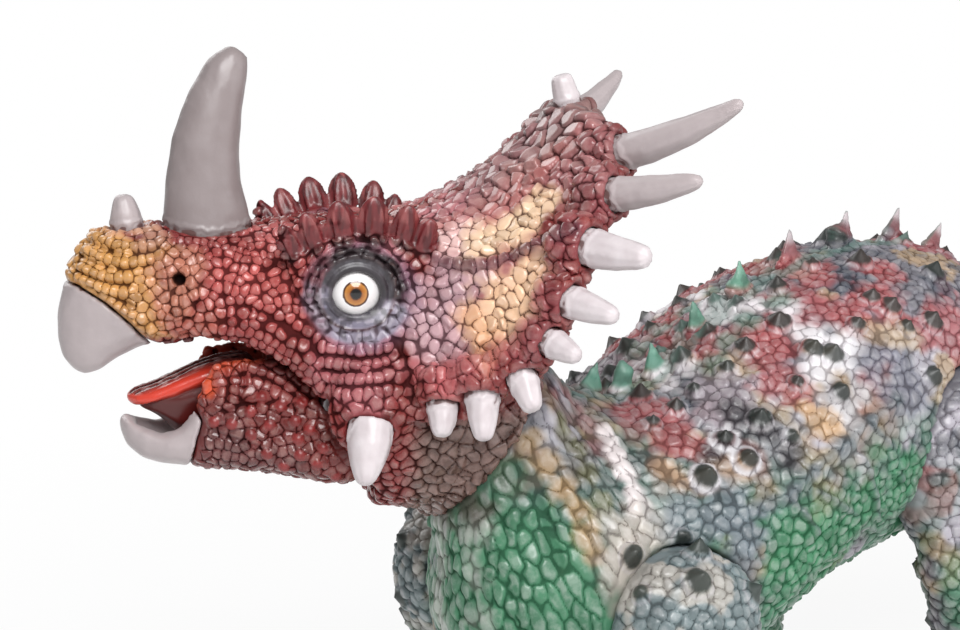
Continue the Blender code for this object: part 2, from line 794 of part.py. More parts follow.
def make_upper_beak(head):
    """The beak is the front of the same form, parted from the snout by a thin glue gap."""
    beak = copy_of(head, "upper_beak")
    combine(beak, [beak_cut("beak_keep", upper_beak_shares, 0)], "INTERSECT")
    combine(head, [beak_cut("beak_off", upper_beak_shares, BEAK_GAP)], "DIFFERENCE")
    return beak


def make_jaw():
    jaw = loft("lower_jaw", head_rings(jaw_ring_shares, LIMB_SIDES, power=JAW_POWER))
    combine(jaw, [loft("trough", head_rings(jaw_trough_shares, LIMB_SIDES))], "DIFFERENCE")
    beak = copy_of(jaw, "lower_beak")
    combine(beak, [beak_cut("beak_keep", lower_beak_shares, 0)], "INTERSECT")
    combine(jaw, [beak_cut("beak_off", lower_beak_shares, BEAK_GAP)], "DIFFERENCE")
    return jaw, beak


def make_tongue():
    """The tongue lies in the jaw's trough, and its tip stands clear above."""
    tongue = loft("tongue", head_rings(tongue_shares, BALL_SIDES))
    trough = loft("trough", head_rings(jaw_trough_shares, LIMB_SIDES, -CLEARANCE))
    keep = ball("keep", head_point(tongue_tip_shares), TONGUE_KEEP_RADII)
    combine(trough, [keep], "UNION")
    combine(tongue, [trough], "INTERSECT")
    return tongue


def jaw_rod(name, grow=0.0):
    """The jaw's pin or, with grow, the bore it turns in."""
    reach = JAW_PIN_SPAN_SHARE * HEAD_SPAN / 2 + grow
    radius = JAW_PIN_RADIUS + grow
    profile = ((-reach, radius), (reach, radius))
    return turned(name, head_point(jaw_hinge_shares), Vector((0, 1, 0)), profile, BALL_SIDES)


def make_jaw_pin(head, jaw):
    for piece in (head, jaw):
        combine(piece, [jaw_rod("bore", CLEARANCE)], "DIFFERENCE")
    return jaw_rod("jaw_pin")


def seated_horn(head, name, spec, radii, side=1):
    """Cuts the horn's socket in the head and makes the horn."""
    place, reach, bend = spec
    at = head_point(mirrored(place, side))
    out = head_point(mirrored(reach, side))
    combine(head, [horn("socket", at, out, bend * HEAD_HEIGHT, radii, CLEARANCE)], "DIFFERENCE")
    return horn(name, at, out, bend * HEAD_HEIGHT, radii)


def make_horns(head):
    made = []
    for side, word in ((-1, "left"), (1, "right")):
        for number, (spec, radii) in enumerate(zip(frill_horn_shares, FRILL_HORN_RADII), 1):
            made.append(seated_horn(head, f"frill_horn_{word}_{number}", spec, radii, side))
        made.append(seated_horn(head, f"cheek_horn_{word}", cheek_horn_shares, CHEEK_HORN_RADII, side))
    made.append(seated_horn(head, "frill_horn_middle", centre_horn_shares, CENTRE_HORN_RADII))
    made.append(seated_horn(head, "nose_nub", nub_shares, NUB_RADII))
    combine(head, [nose_horn("socket", CLEARANCE)], "DIFFERENCE")
    made.append(nose_horn("nose_horn"))
    return made


def make_eyes(head):
    made = []
    for side, word in ((-1, "left"), (1, "right")):
        middle = head_point(mirrored(eye_shares, side))
        grown = EYE_RADIUS + CLEARANCE
        combine(head, [ball("orbit", middle, (grown,) * 3, EYE_ROWS, EYE_SIDES)], "DIFFERENCE")
        made.append(ball(f"eye_{word}", middle, (EYE_RADIUS,) * 3, EYE_ROWS, EYE_SIDES))
        place = head_point(mirrored(nostril_shares, side))
        nostril = ball("nostril", place, (NOSTRIL_RADIUS,) * 3, TOE_ROWS, TOE_SIDES)
        combine(head, [nostril], "DIFFERENCE")
    return made


def neck_seam():
    """Middle of the neck seam in the body's frame."""
    return Vector((0, neck_side_share * TRUNK_WIDTH, NECK_HEIGHT))


def world_neck_axis():
    return Matrix.Rotation(HEAD_TURN, 3, "Z") @ neck_axis()


def seam_ring(middle, axis, radius, sides):
    """A round ring square to axis, in step with the torso's other rings."""
    side = axis.cross(Vector((0, 0, 1))).normalized() * radius
    if side.y < 0:
        side = -side
    rise = side.normalized().cross(axis) * radius
    if rise.z < 0:
        rise = -rise
    return oval(middle, side, rise, -rise, sides, ROUND_POWER)


def torso_rings():
    rings = [seam_ring(neck_seam(), world_neck_axis(), NECK_RADIUS, RING_SIDES)]
    for top_x, top_z, low_x, low_z, half, off, turn in torso_ring_shares:
        top = body_point(top_x, off, top_z)
        low = body_point(low_x, off, low_z)
        middle = top.lerp(low, TORSO_LEVEL_SHARE)
        side = Matrix.Rotation(HEAD_TURN * turn, 3, "Z") @ Vector((0, half * TRUNK_WIDTH, 0))
        rings.append(oval(middle, side, top - middle, low - middle, RING_SIDES, TORSO_POWER))
    rings.append(seam_ring(body_point(*tail_seam_shares), tail_axis(), TAIL_RADIUS, RING_SIDES))
    return rings


def tail_axis():
    """From the torso out along the tail."""
    return Vector((math.cos(TAIL_PITCH), 0, math.sin(TAIL_PITCH)))


def ridge_spike(at, along, scale):
    """A flattened spike that leans back a little, sunk in the ridge below it."""
    up = along.cross(Vector((0, 1, 0))).normalized()
    if up.z < 0:
        up = -up
    height = DORSAL_SPIKE_HEIGHT * scale
    half = DORSAL_SPIKE_LENGTH * scale / 2
    thick = DORSAL_SPIKE_WIDTH * scale / 2
    root = at - up * height * SPIKE_SUNK_SHARE
    tip = at + up * height + along * half / 2
    ring = [root + along * half * a + Vector((0, thick * b, 0)) for a, b in DORSAL_FOOT_SHARES]
    return loft("dorsal", [ring, [tip + (p - root) * SPIKE_TIP_SHARE for p in ring]])


def ridge_spikes(tops, count, scales):
    """Spikes spread evenly along a line of top points."""
    made = []
    for i in range(count):
        place = (i + 1 / 2) / count * (len(tops) - 1)
        k = min(int(place), len(tops) - 2)
        at = tops[k].lerp(tops[k + 1], place - k)
        scale = scales[0] + (scales[1] - scales[0]) * i / (count - 1)
        made.append(ridge_spike(at, (tops[k + 1] - tops[k]).normalized(), scale))
    return made


def leg_joint(shares, side):
    return Vector((shares[0] * TRUNK_LENGTH, side * LEG_PLANE, shares[1] * NECK_HEIGHT))


def leg_recess(joint, side, radius):
    axis = Vector((0, side, 0))
    grown = radius + RECESS_CLEARANCE
    return turned("recess", joint, axis, ((0, grown), (OVERRUN, grown)), RING_SIDES)


def swing_room(joint, side, radius):
    """The room below a leg's joint that the limb sweeps as it swings."""
    ahead = [(along, up) for along, up in swing_room_shares]
    behind = [(-along, up) for along, up in swing_room_shares[::-1]]
    outline = [joint + Vector((along, 0, up)) * radius for along, up in ahead + behind]
    return prism("swing_room", outline, side * LEG_PLANE, side * (LEG_PLANE + OVERRUN))


def leg_specs():
    for word, joint, radius, rows in (
        ("front", shoulder_shares, FRONT_TOP_RADIUS, front_leg_shares),
        ("hind", hip_shares, HIND_TOP_RADIUS, hind_leg_shares),
    ):
        for side_word, side in (("left", -1), ("right", 1)):
            yield f"{word}_leg_{side_word}", leg_joint(joint, side), side, radius, rows


def make_torso():
    rings = torso_rings()
    torso = loft("torso", rings)
    top = RING_SIDES // 4
    tops = [ring[top] for ring in rings]
    combine(torso, ridge_spikes(tops[1:], TORSO_SPIKES, TORSO_SPIKE_SHARES), "UNION")
    for _, joint, side, radius, _ in leg_specs():
        axis = Vector((0, side, 0))
        combine(torso, [leg_recess(joint, side, radius), swing_room(joint, side, radius)], "DIFFERENCE")
        combine(torso, [plug_socket(joint, -axis, LEG_PLUG_RADIUS, PLUG_WALL)], "DIFFERENCE")
    combine(torso, [plug_seat(neck_seam(), world_neck_axis(), NECK_PLUG_RADIUS, PLUG_SUNK)], "DIFFERENCE")
    seam = body_point(*tail_seam_shares)
    combine(torso, [plug_socket(seam, -tail_axis(), TAIL_PLUG_RADIUS, PLUG_WALL)], "DIFFERENCE")
    return torso


def toes(sole, half_x, half_y):
    made = []
    for degrees in TOE_ANGLES:
        turn = math.radians(degrees)
        ahead = math.cos(turn) * half_x * TOE_REACH_SHARES[0]
        across = math.sin(turn) * half_y * TOE_REACH_SHARES[1]
        place = sole + Vector((-ahead, across, TOE_RISE))
        made.append(ball("toe", place, TOE_RADII, TOE_ROWS, TOE_SIDES))
    return made


def leg_top(name, start, axis, radius):
    """The round top of a leg: a flat inner face and a domed outer one."""
    profile = [(0, radius), (LEG_TOP_EDGE, radius)]
    for degrees in LEG_DOME_ANGLES:
        turn = math.radians(degrees)
        profile.append((LEG_TOP_EDGE + LEG_TOP_DOME * math.sin(turn), radius * math.cos(turn)))
    return turned(name, start, axis, profile, RING_SIDES)


def leg_limb(joint, side, rows):
    """The limb with its toes, from inside the leg's top down to the sole."""
    rings = []
    for up, along, half_x, across, half_y in rows:
        middle = Vector((joint.x, 0, 0)) + body_point(along, side * across, up)
        side_x = Vector((half_x * TRUNK_LENGTH, 0, 0))
        side_y = Vector((0, half_y * TRUNK_WIDTH, 0))
        rings.append(oval(middle, side_x, side_y, -side_y, LIMB_SIDES, LIMB_POWER))
    _, along, half_x, across, half_y = rows[-1]
    sole = Vector((joint.x, 0, 0)) + body_point(along, side * across, 0)
    return [loft("limb", rings)] + toes(sole, half_x * TRUNK_LENGTH, half_y * TRUNK_WIDTH)


def make_leg(name, joint, side, radius, rows):
    axis = Vector((0, side, 0))
    start = joint + axis * CLEARANCE
    leg = leg_top(name, start, axis, radius)
    combine(leg, leg_limb(joint, side, rows), "UNION")
    thin_out(leg, LEG_KEEP_SHARE)
    inner = turned("inner", start, -axis, ((0, radius), (OVERRUN, radius)), RING_SIDES)
    below = Vector((joint.x, joint.y, -OVERRUN))
    reach = OVERRUN * 2
    under = turned("under", below, Vector((0, 0, 1)), ((0, reach), (OVERRUN, reach)), UNDER_SIDES)
    combine(leg, [inner, under], "DIFFERENCE")
    combine(leg, [plug_seat(joint, -axis, LEG_PLUG_RADIUS, PLUG_SUNK)], "DIFFERENCE")
    return leg


def make_tail():
    seam = body_point(*tail_seam_shares)
    axis = tail_axis()
    start = seam + axis * CLEARANCE
    rings = [seam_ring(start, axis, TAIL_RADIUS, LIMB_SIDES)]
    centres = [start]
    for along, side, up, _ in tail_ring_shares:
        centres.append(seam + Vector((along, side, up)) * TAIL_LENGTH)
    for i, (_, _, _, share) in enumerate(tail_ring_shares, 1):
        after = centres[min(i + 1, len(centres) - 1)]
        way = (after - centres[i - 1]).normalized()
        rings.append(seam_ring(centres[i], way, TAIL_RADIUS * share, LIMB_SIDES))
    tail = loft("tail", rings)
    tops = [ring[LIMB_SIDES // 4] for ring in rings]
    combine(tail, ridge_spikes(tops[:-1], TAIL_SPIKES, TAIL_SPIKE_SHARES), "UNION")
    combine(tail, [plug_seat(seam, -axis, TAIL_PLUG_RADIUS, PLUG_SUNK)], "DIFFERENCE")
    return tail


def empty(name, place, parent=None):
    made = bpy.data.objects.new(name, None)
    bpy.context.scene.collection.objects.link(made)
    made.location = place
    made.parent = parent
    return made


def hang(piece, joint, pivot, material):
    """Sets the piece's origin on its joint, shades it smooth and gives it its material."""
    piece.data.transform(Matrix.Translation(-pivot))
    piece.parent = joint
    piece.data.materials.clear()
    piece.data.materials.append(material)
    piece.data.shade_smooth()
    piece.data.set_sharp_from_angle(angle=SMOOTH_ANGLE)


def build_head(figure):
    seam = head_point(neck_seam_shares)
    hinge = head_point(jaw_hinge_shares)
    neck_joint = empty("neck_joint", neck_seam(), figure)
    neck_joint.rotation_euler = (0, 0, HEAD_TURN)
    jaw_joint = empty("jaw_joint", hinge - seam, neck_joint)
    head = make_head()
    upper_beak = make_upper_beak(head)
    horns = make_horns(head)
    eyes = make_eyes(head)
    jaw, lower_beak = make_jaw()
    tongue = make_tongue()
    pin = make_jaw_pin(head, jaw)
    combine(head, [plug_socket(seam, neck_axis(), NECK_PLUG_RADIUS, PLUG_WALL)], "DIFFERENCE")
    hang(head, neck_joint, seam, red_skin())
    hang(upper_beak, neck_joint, seam, pale_horn())
    for piece in horns:
        hang(piece, neck_joint, seam, pale_horn())
    for piece in eyes:
        hang(piece, neck_joint, seam, eye_enamel())
    hang(pin, neck_joint, seam, pin_steel())
    hang(jaw, jaw_joint, hinge, red_skin())
    hang(lower_beak, jaw_joint, hinge, pale_horn())
    hang(tongue, jaw_joint, hinge, red_tongue())


def build_body(figure):
    still = Vector((0, 0, 0))
    hang(make_torso(), figure, still, body_skin())
    neck_plug = plug("neck_plug", neck_seam(), world_neck_axis(), NECK_PLUG_RADIUS, PLUG_WALL, PLUG_SUNK)
    hang(neck_plug, figure, still, plug_plastic())
    for name, place, side, radius, rows in leg_specs():
        joint = empty(f"{name}_joint", place, figure)
        hang(make_leg(name, place, side, radius, rows), joint, place, body_skin())
        leg_plug = plug(f"{name}_plug", place, Vector((0, -side, 0)), LEG_PLUG_RADIUS, PLUG_WALL, PLUG_SUNK)
        hang(leg_plug, joint, place, plug_plastic())
    seam = body_point(*tail_seam_shares)
    tail_joint = empty("tail_joint", seam, figure)
    hang(make_tail(), tail_joint, seam, body_skin())
    tail_plug = plug("tail_plug", seam, -tail_axis(), TAIL_PLUG_RADIUS, PLUG_WALL, PLUG_SUNK)
    hang(tail_plug, tail_joint, seam, plug_plastic())


def stand_on_origin(figure):
    """Moves the figure so that it stands on z = 0 with the middle of its box over the origin."""
    bpy.context.view_layer.update()
    solids = [thing for thing in bpy.data.objects if thing.type == "MESH"]
    corners = [solid.matrix_world @ v.co for solid in solids for v in solid.data.vertices]
    low = Vector([min(c[i] for c in corners) for i in range(3)])
    high = Vector([max(c[i] for c in corners) for i in range(3)])
    figure.location = (-(low.x + high.x) / 2, -(low.y + high.y) / 2, -low.z)


def main():
    clear_scene()
    figure = empty("figure", (0, 0, 0))
    build_head(figure)
    build_body(figure)
    stand_on_origin(figure)


main()
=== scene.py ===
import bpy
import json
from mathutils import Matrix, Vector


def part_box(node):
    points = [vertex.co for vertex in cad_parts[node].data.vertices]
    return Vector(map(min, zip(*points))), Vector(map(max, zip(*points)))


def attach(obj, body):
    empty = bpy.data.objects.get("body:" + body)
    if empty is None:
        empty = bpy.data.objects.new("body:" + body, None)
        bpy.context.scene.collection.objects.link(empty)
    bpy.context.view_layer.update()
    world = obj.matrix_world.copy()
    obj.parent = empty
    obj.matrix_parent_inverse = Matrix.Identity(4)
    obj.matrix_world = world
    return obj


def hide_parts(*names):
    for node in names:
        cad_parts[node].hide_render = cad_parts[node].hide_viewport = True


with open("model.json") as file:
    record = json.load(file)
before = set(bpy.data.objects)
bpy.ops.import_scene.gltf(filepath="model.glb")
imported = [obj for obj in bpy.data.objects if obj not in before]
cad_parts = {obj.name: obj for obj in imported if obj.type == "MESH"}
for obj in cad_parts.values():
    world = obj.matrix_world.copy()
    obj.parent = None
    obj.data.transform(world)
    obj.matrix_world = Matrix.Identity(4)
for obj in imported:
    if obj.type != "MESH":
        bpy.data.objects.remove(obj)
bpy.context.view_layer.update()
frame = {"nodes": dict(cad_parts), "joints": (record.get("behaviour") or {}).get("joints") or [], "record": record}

import json
import math

import bmesh
import bpy
import numpy as np
from mathutils import Matrix, Vector
from mathutils.bvhtree import BVHTree
from mathutils.kdtree import KDTree

# Lengths below are in millimetres unless a name says otherwise
mm = 0.001
joints = {j["name"]: j for j in frame["joints"]}
up = Vector((0, 0, 1))


# Head frame: from the middle plane at eye level, back, to the figure's right, and up
headAcross = Vector(joints["jaw_hinge"]["axis"]).normalized()
headBack = headAcross.cross(up)


def middleOf(node):
    low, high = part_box(node)
    return (Vector(low) + Vector(high)) / 2


eyeMiddle = (middleOf("eye_left") + middleOf("eye_right")) / 2
headOrigin = eyeMiddle + headBack * 4.3 * mm - up * 3.6 * mm
headBasis = np.array([headBack[:], headAcross[:], up[:]])
headOriginMm = np.array(headOrigin[:]) / mm
bodyMiddleY = joints["tail_turn"]["pos_m"][1] / mm


def toHead(points):
    return (np.atleast_2d(points) - headOriginMm) @ headBasis.T


def fromHead(points):
    return np.atleast_2d(points) @ headBasis + headOriginMm


def mirrorHead(points):
    local = toHead(points)
    local[:, 1] *= -1
    return fromHead(local)


def mirrorBody(points):
    other = np.atleast_2d(points).copy()
    other[:, 1] = 2 * bodyMiddleY - other[:, 1]
    return other


# Camera: low at the figure's left, level with its brow
cameraSet = {
    "yaw": math.radians(12),  # towards the front from the head's side
    "pitch": math.radians(10),
    "distance": 450,
    "focal": 84.4,
    "eyePixel": (353, 290),
    "imageSize": (960, 630),
    "sensor": 36,
}


def setCamera():
    c = cameraSet
    inHead = np.array([
        [math.cos(c["yaw"]), -math.sin(c["yaw"]), 0],
        [0, 0, 0],
        [-math.sin(c["yaw"]) * math.cos(c["pitch"]), -math.cos(c["yaw"]) * math.cos(c["pitch"]), math.sin(c["pitch"])],
    ])
    right = Vector((inHead[0] @ headBasis).tolist())
    towards = Vector((inHead[2] @ headBasis).tolist())
    upward = towards.cross(right)
    perPixel = c["sensor"] / c["imageSize"][0] * c["distance"] / c["focal"] * mm
    offRight = (c["imageSize"][0] / 2 - c["eyePixel"][0]) * perPixel
    offDown = (c["imageSize"][1] / 2 - c["eyePixel"][1]) * perPixel
    place = middleOf("eye_left") + right * offRight - upward * offDown + towards * c["distance"] * mm
    data = bpy.data.cameras.new("camera")
    data.lens = c["focal"]
    data.sensor_width = c["sensor"]
    data.clip_start = 0.01
    camera = bpy.data.objects.new("camera", data)
    bpy.context.scene.collection.objects.link(camera)
    turn = Matrix((right, upward, towards)).transposed().to_4x4()
    camera.matrix_world = Matrix.Translation(place) @ turn
    bpy.context.scene.camera = camera
    return place, right, upward, towards


cameraPlace, cameraRight, cameraUp, cameraTowards = setCamera()


def pixelRay(x, y):
    c = cameraSet
    step = c["sensor"] / c["imageSize"][0]
    way = -cameraTowards * c["focal"]
    way = way + cameraRight * (x - c["imageSize"][0] / 2) * step
    way = way + cameraUp * (c["imageSize"][1] / 2 - y) * step
    return way.normalized()


def spotAt(tree, x, y):
    # where a line of sight through that point of the picture meets a surface, in millimetres
    hit = tree.ray_cast(cameraPlace, pixelRay(x, y))[0]
    return None if hit is None else np.array(hit[:]) / mm


print("camera and frame ready")


# Colour and nodes
def linear(code):
    values = [int(code[i:i + 2], 16) / 255 for i in (1, 3, 5)]
    return tuple(v / 12.92 if v <= 0.04045 else ((v + 0.055) / 1.055) ** 2.4 for v in values)


def feed(tree, node, settings):
    # a property, or a socket by its name or number, gets a value or another node's output
    for key, value in settings.items():
        if isinstance(key, str) and hasattr(node, key):
            setattr(node, key, value)
        elif isinstance(value, bpy.types.NodeSocket):
            tree.links.new(value, node.inputs[key])
        else:
            node.inputs[key].default_value = value


def addNode(tree, kind, settings, get=0):
    # makes a node and returns one of its outputs
    node = tree.nodes.new("ShaderNode" + kind)
    feed(tree, node, settings)
    return node.outputs[get]


def span(tree, value, low, high, first, last, **more):
    # low to high becomes first to last
    ends = {"From Min": low, "From Max": high, "To Min": first, "To Max": last}
    return addNode(tree, "MapRange", {"Value": value, **ends, **more})


def mixed(tree, factor, first, second, blend="MIX"):
    return addNode(tree, "Mix", {"data_type": "RGBA", "blend_type": blend, 0: factor, 6: first, 7: second}, 2)


def solve(tree, operation, *values, **more):
    return addNode(tree, "Math", {"operation": operation, **dict(enumerate(values)), **more})


def noise(tree, place, sizeMm, detail, **more):
    return addNode(tree, "TexNoise", {"Vector": place, "Scale": 1000 / sizeMm, "Detail": detail, **more})


def placeOf(tree):
    return addNode(tree, "TexCoord", {}, "Object")


def layerOf(tree, name):
    return addNode(tree, "Attribute", {"attribute_name": name}, "Fac")


def relief(tree, height, strength, depthMm):
    return addNode(tree, "Bump", {"Strength": strength, "Distance": depthMm * mm, "Height": height})


def newMaterial(name):
    made = bpy.data.materials.new(name)
    made.use_nodes = True
    tree = made.node_tree
    return made, tree, tree.nodes["Principled BSDF"]


# Mesh helpers
def readLayer(items, name, width, kind=np.float32):
    values = np.empty(len(items) * width, kind)
    items.foreach_get(name, values)
    return values.reshape(-1, width)


def readPoints(mesh):
    return readLayer(mesh.vertices, "co", 3).astype(np.float64) / mm


def readNormals(mesh):
    return readLayer(mesh.vertices, "normal", 3).astype(np.float64)


def writePoints(mesh, co):
    mesh.vertices.foreach_set("co", (co * mm).astype(np.float32).ravel())
    mesh.update()


def spread(values, edges, count):
    # mean of each point's neighbours
    both = np.concatenate([edges, edges[:, ::-1]])
    weight = np.maximum(np.bincount(both[:, 0], minlength=count), 1)
    if values.ndim == 1:
        return np.bincount(both[:, 0], weights=values[both[:, 1]], minlength=count) / weight
    columns = [np.bincount(both[:, 0], weights=v[both[:, 1]], minlength=count) for v in values.T]
    return np.stack(columns, 1) / weight[:, None]


def evenOut(mesh, rounds, keep=None):
    # rounds off facets and keeps the volume; keep marks the points that hold still
    co = readPoints(mesh)
    edges = readLayer(mesh.edges, "vertices", 2, np.int32)
    hold = 1.0 if keep is None else (1 - keep)[:, None]
    for push in (0.55, -0.57) * rounds:
        co = co + (spread(co, edges, len(co)) - co) * push * hold
    writePoints(mesh, co)


def linked(name, mesh):
    made = bpy.data.objects.new(name, mesh)
    bpy.context.scene.collection.objects.link(made)
    return made


weldMm = 0.002  # CAD corners this near are one


def cadCopy(node, name):
    # a welded copy of a CAD node's mesh as a new object
    mesh = frame["nodes"][node].data.copy()
    mesh.name = name
    shape = bmesh.new()
    shape.from_mesh(mesh)
    bmesh.ops.remove_doubles(shape, verts=shape.verts, dist=weldMm * mm)
    shape.to_mesh(mesh)
    shape.free()
    mesh.materials.clear()
    return linked(name, mesh)


def remesh(piece, voxel):
    step = piece.modifiers.new("voxels", "REMESH")
    step.mode = "VOXEL"
    step.voxel_size = voxel * mm
    bpy.context.view_layer.update()
    made = bpy.data.meshes.new_from_object(piece.evaluated_get(bpy.context.evaluated_depsgraph_get()))
    piece.modifiers.clear()
    old = piece.data
    piece.data = made
    made.name = piece.name
    bpy.data.meshes.remove(old)


def addMesh(piece, others):
    # puts other closed meshes into the piece; the next remesh makes them one skin
    shape = bmesh.new()
    shape.from_mesh(piece.data)
    for other in others:
        shape.from_mesh(other)
        bpy.data.meshes.remove(other)
    shape.to_mesh(piece.data)
    shape.free()


def treeOf(mesh):
    return BVHTree.FromPolygons([v.co[:] for v in mesh.vertices], [tuple(p.vertices) for p in mesh.polygons])


def loftMesh(name, rings, endless=False):
    # skin through rings of points in millimetres: capped at both ends, or a tube that meets its own start
    shape = bmesh.new()
    rows = [[shape.verts.new([c * mm for c in p]) for p in ring] for ring in rings]
    for low, high in zip(rows, rows[1:] + rows[:1] if endless else rows[1:]):
        for i in range(len(low)):
            j = (i + 1) % len(low)
            shape.faces.new((low[i], low[j], high[j], high[i]))
    if not endless:
        shape.faces.new(rows[0])
        shape.faces.new(rows[-1])
    bmesh.ops.recalc_face_normals(shape, faces=shape.faces)
    mesh = bpy.data.meshes.new(name)
    shape.to_mesh(mesh)
    shape.free()
    return mesh


def turnsOf(count):
    # the angles of that many points round a ring
    return [2 * math.pi * k / count for k in range(count)]


def ease(low, high, x):
    # 0 at low, 1 at high, smooth between them
    t = np.clip((x - low) / (high - low), 0, 1)
    return t * t * (3 - 2 * t)


def valueNoise(co, size, seed):
    # soft noise from 0 to 1 whose lumps are about size across
    cell = co / size + seed * 17.3
    base = np.floor(cell).astype(np.int64)
    part = cell - base
    part = part * part * (3 - 2 * part)
    total = np.zeros(len(co))
    for corner in np.ndindex(2, 2, 2):
        x, y, z = (base + corner).T
        h = x * 73856093 ^ y * 19349663 ^ z * 83492791
        h = (h ^ (h >> 13)) * 1274126177 & 0x7FFFFFFF
        h = (h ^ (h >> 16)) & 0xFFFF
        wx, wy, wz = np.where(corner, part, 1 - part).T
        total += h / 65535 * wx * wy * wz
    return total


def uneven(co, size, seed):
    return valueNoise(co, size, seed) - 0.5


# a turn that keeps the noise's lattice away from the figure's own planes
turned = np.array(((0.36, 0.48, -0.8), (-0.8, 0.6, 0.0), (0.48, 0.64, 0.6)))


def blotch(co, size, seed):
    # patches with uneven edges
    return 0.62 * valueNoise(co @ turned, size, seed) + 0.38 * valueNoise(co @ turned.T, size * 0.42, seed + 50)


def nearOthers(co, names, reach):
    # 0 beside these CAD nodes, 1 from reach away, so that texture never fills a gap
    points, faces = [], []
    for name in names:
        mesh = frame["nodes"][name].data
        start = len(points)
        points += [v.co[:] for v in mesh.vertices]
        faces += [tuple(i + start for i in p.vertices) for p in mesh.polygons]
    tree = BVHTree.FromPolygons(points, faces)
    free, limit = np.ones(len(co)), reach * mm
    for i, p in enumerate((co * mm).tolist()):
        found = tree.find_nearest(p, limit)
        if found[3] is not None:
            free[i] = found[3] / limit
    return ease(0.15, 1.0, free)


# What moves past each node, at which joint, and whether the node itself is what turns
limbs = ("front_leg_left", "front_leg_right", "hind_leg_left", "hind_leg_right")
sweeps = {limb: [("torso", limb + "_swing", 1)] for limb in limbs}
sweeps["torso"] = [(limb, limb + "_swing", -1) for limb in limbs]
sweeps["head"] = [("lower_jaw", "jaw_hinge", -1)]
sweeps["lower_jaw"] = [("head", "jaw_hinge", 1)]


def clearOf(co, node, others, reach):
    # as nearOthers, at every place that the joints bring the others to
    free = nearOthers(co, others, reach)
    for other, name, way in sweeps.get(node, ()):
        joint = joints[name]
        middle = np.array(joint["pos_m"]) / mm
        low, high = joint["range_deg"]
        for share in (0.0, 0.25, 0.75, 1.0):
            turn = Matrix.Rotation(math.radians(low + (high - low) * share) * way, 3, Vector(joint["axis"]))
            free = np.minimum(free, nearOthers((co - middle) @ np.array(turn).T + middle, [other], reach))
    return free


def pointTree(co):
    tree = KDTree(len(co))
    for i, p in enumerate(co.tolist()):
        tree.insert(p, i)
    tree.balance()
    return tree


def scatter(co, radii, fixed, candidates, seed):
    # fixed seeds first, then points picked at random that keep their radius apart
    rng = np.random.default_rng(seed)
    picked = rng.permutation(len(co))[:candidates]
    tree = pointTree(co[picked])
    alive = np.ones(len(picked), bool)
    seeds = list(fixed)
    for place, radius in fixed:
        for _, k, _ in tree.find_range(place, radius * 1.75):
            alive[k] = False
    for k, i in enumerate(picked.tolist()):
        if alive[k]:
            seeds.append((co[i], radii[i]))
            for _, other, _ in tree.find_range(co[i], radii[i] * 1.8):
                alive[other] = False
    return seeds


def cellsOver(co, seeds):
    # for each point the scale it is on, how far out on it, and how far inside its border
    tree = pointTree(np.array([place for place, _ in seeds]))
    radius = np.array([r for _, r in seeds])
    near = np.zeros((len(co), 4), np.int32)
    far = np.full((len(co), 4), 99.0)
    for i, p in enumerate(co.tolist()):
        for k, (_, j, d) in enumerate(tree.find_n(p, 4)):
            near[i, k], far[i, k] = j, d
    share = far / radius[near]
    order = np.argsort(share, axis=1)
    rows = np.arange(len(co))
    first = near[rows, order[:, 0]]
    w1 = share[rows, order[:, 0]]
    w2 = share[rows, order[:, 1]]
    return first, w1, w2 - w1


def along(line, step):
    # evenly spaced points of a polyline
    line = [np.array(p, float) for p in line]
    out = [line[0]]
    left = step
    for a, b in zip(line, line[1:]):
        length = np.linalg.norm(b - a)
        place = left
        while place <= length:
            out.append(a + (b - a) * place / length)
            place += step
        left = place - length
    return out


def creases(tree, lines, lift):
    # raises (or sinks) the surface along lines: each is (points in mm, width, height)
    for points, width, height in lines:
        best = {}
        for p in along(points, width * 0.4):
            for _, i, d in tree.find_range(p, width * 2.4):
                if d < best.get(i, 99):
                    best[i] = d
        if best:
            at = np.fromiter(best.keys(), int)
            d = np.fromiter(best.values(), float)
            lift[at] += height * np.exp(-(d / width) ** 2)


def keepLayer(mesh, name, values):
    layer = mesh.attributes.new(name, "FLOAT", "POINT")
    layer.data.foreach_set("value", values.astype(np.float32))


def keepColours(mesh, name, colours):
    layer = mesh.attributes.new(name, "FLOAT_COLOR", "POINT")
    rgba = np.ones((len(colours), 4), np.float32)
    rgba[:, :3] = np.clip(colours, 0, 1)
    layer.data.foreach_set("color", rgba.ravel())


def spray(colours, co, centres, radius, code, strength, ragged=None):
    # a soft-edged patch of paint round each centre
    target = np.array(linear(code))
    reach = radius if ragged is None else radius * (1 + ragged)
    for centre in centres:
        d = np.sqrt(((co - centre) ** 2).sum(1))
        weight = (strength * (1 - ease(0.35, 1.25, d / reach)))[:, None]
        colours += (target - colours) * weight


def plainCoat(co, code):
    return np.tile(np.array(linear(code)), (len(co), 1))


def tint(colours, *coats):
    # coats of (how much at each point, colour)
    for weight, code in coats:
        colours += (np.array(linear(code)) - colours) * np.clip(weight, 0, 1)[:, None]


print("helpers ready")


# Materials. Soft vinyl (PVC), slush-moulded, then sprayed, washed dark and dry-brushed pale by hand:
# the dark paint in every groove is partly that wash and partly painted shade, and the pale, slightly glossy crown on
# every scale is partly dry brushing and partly painted highlight
skinVinyl = {
    "grainMm": 0.35,  # pores of the casting, drawn as coarse as they need to show
    "markMm": 3,  # brush marks break up the pale crowns
    "roughCrown": 0.27,
    "roughGroove": 0.72,
    "saturation": 0.97,
    "value": 1.0,
    "washAndShade": 0.9,  # how much dark paint lies in a groove: the wash and painted shade
    "washAndShadeTint": (0.13, 0.08, 0.09, 1),
    "brushAndHighlight": 0.42,  # how much pale paint lies on a crown: dry brushing and painted highlight
    "brushAndHighlightTint": (0.55, 0.36, 0.32, 1),
    "ior": 1.52,
}


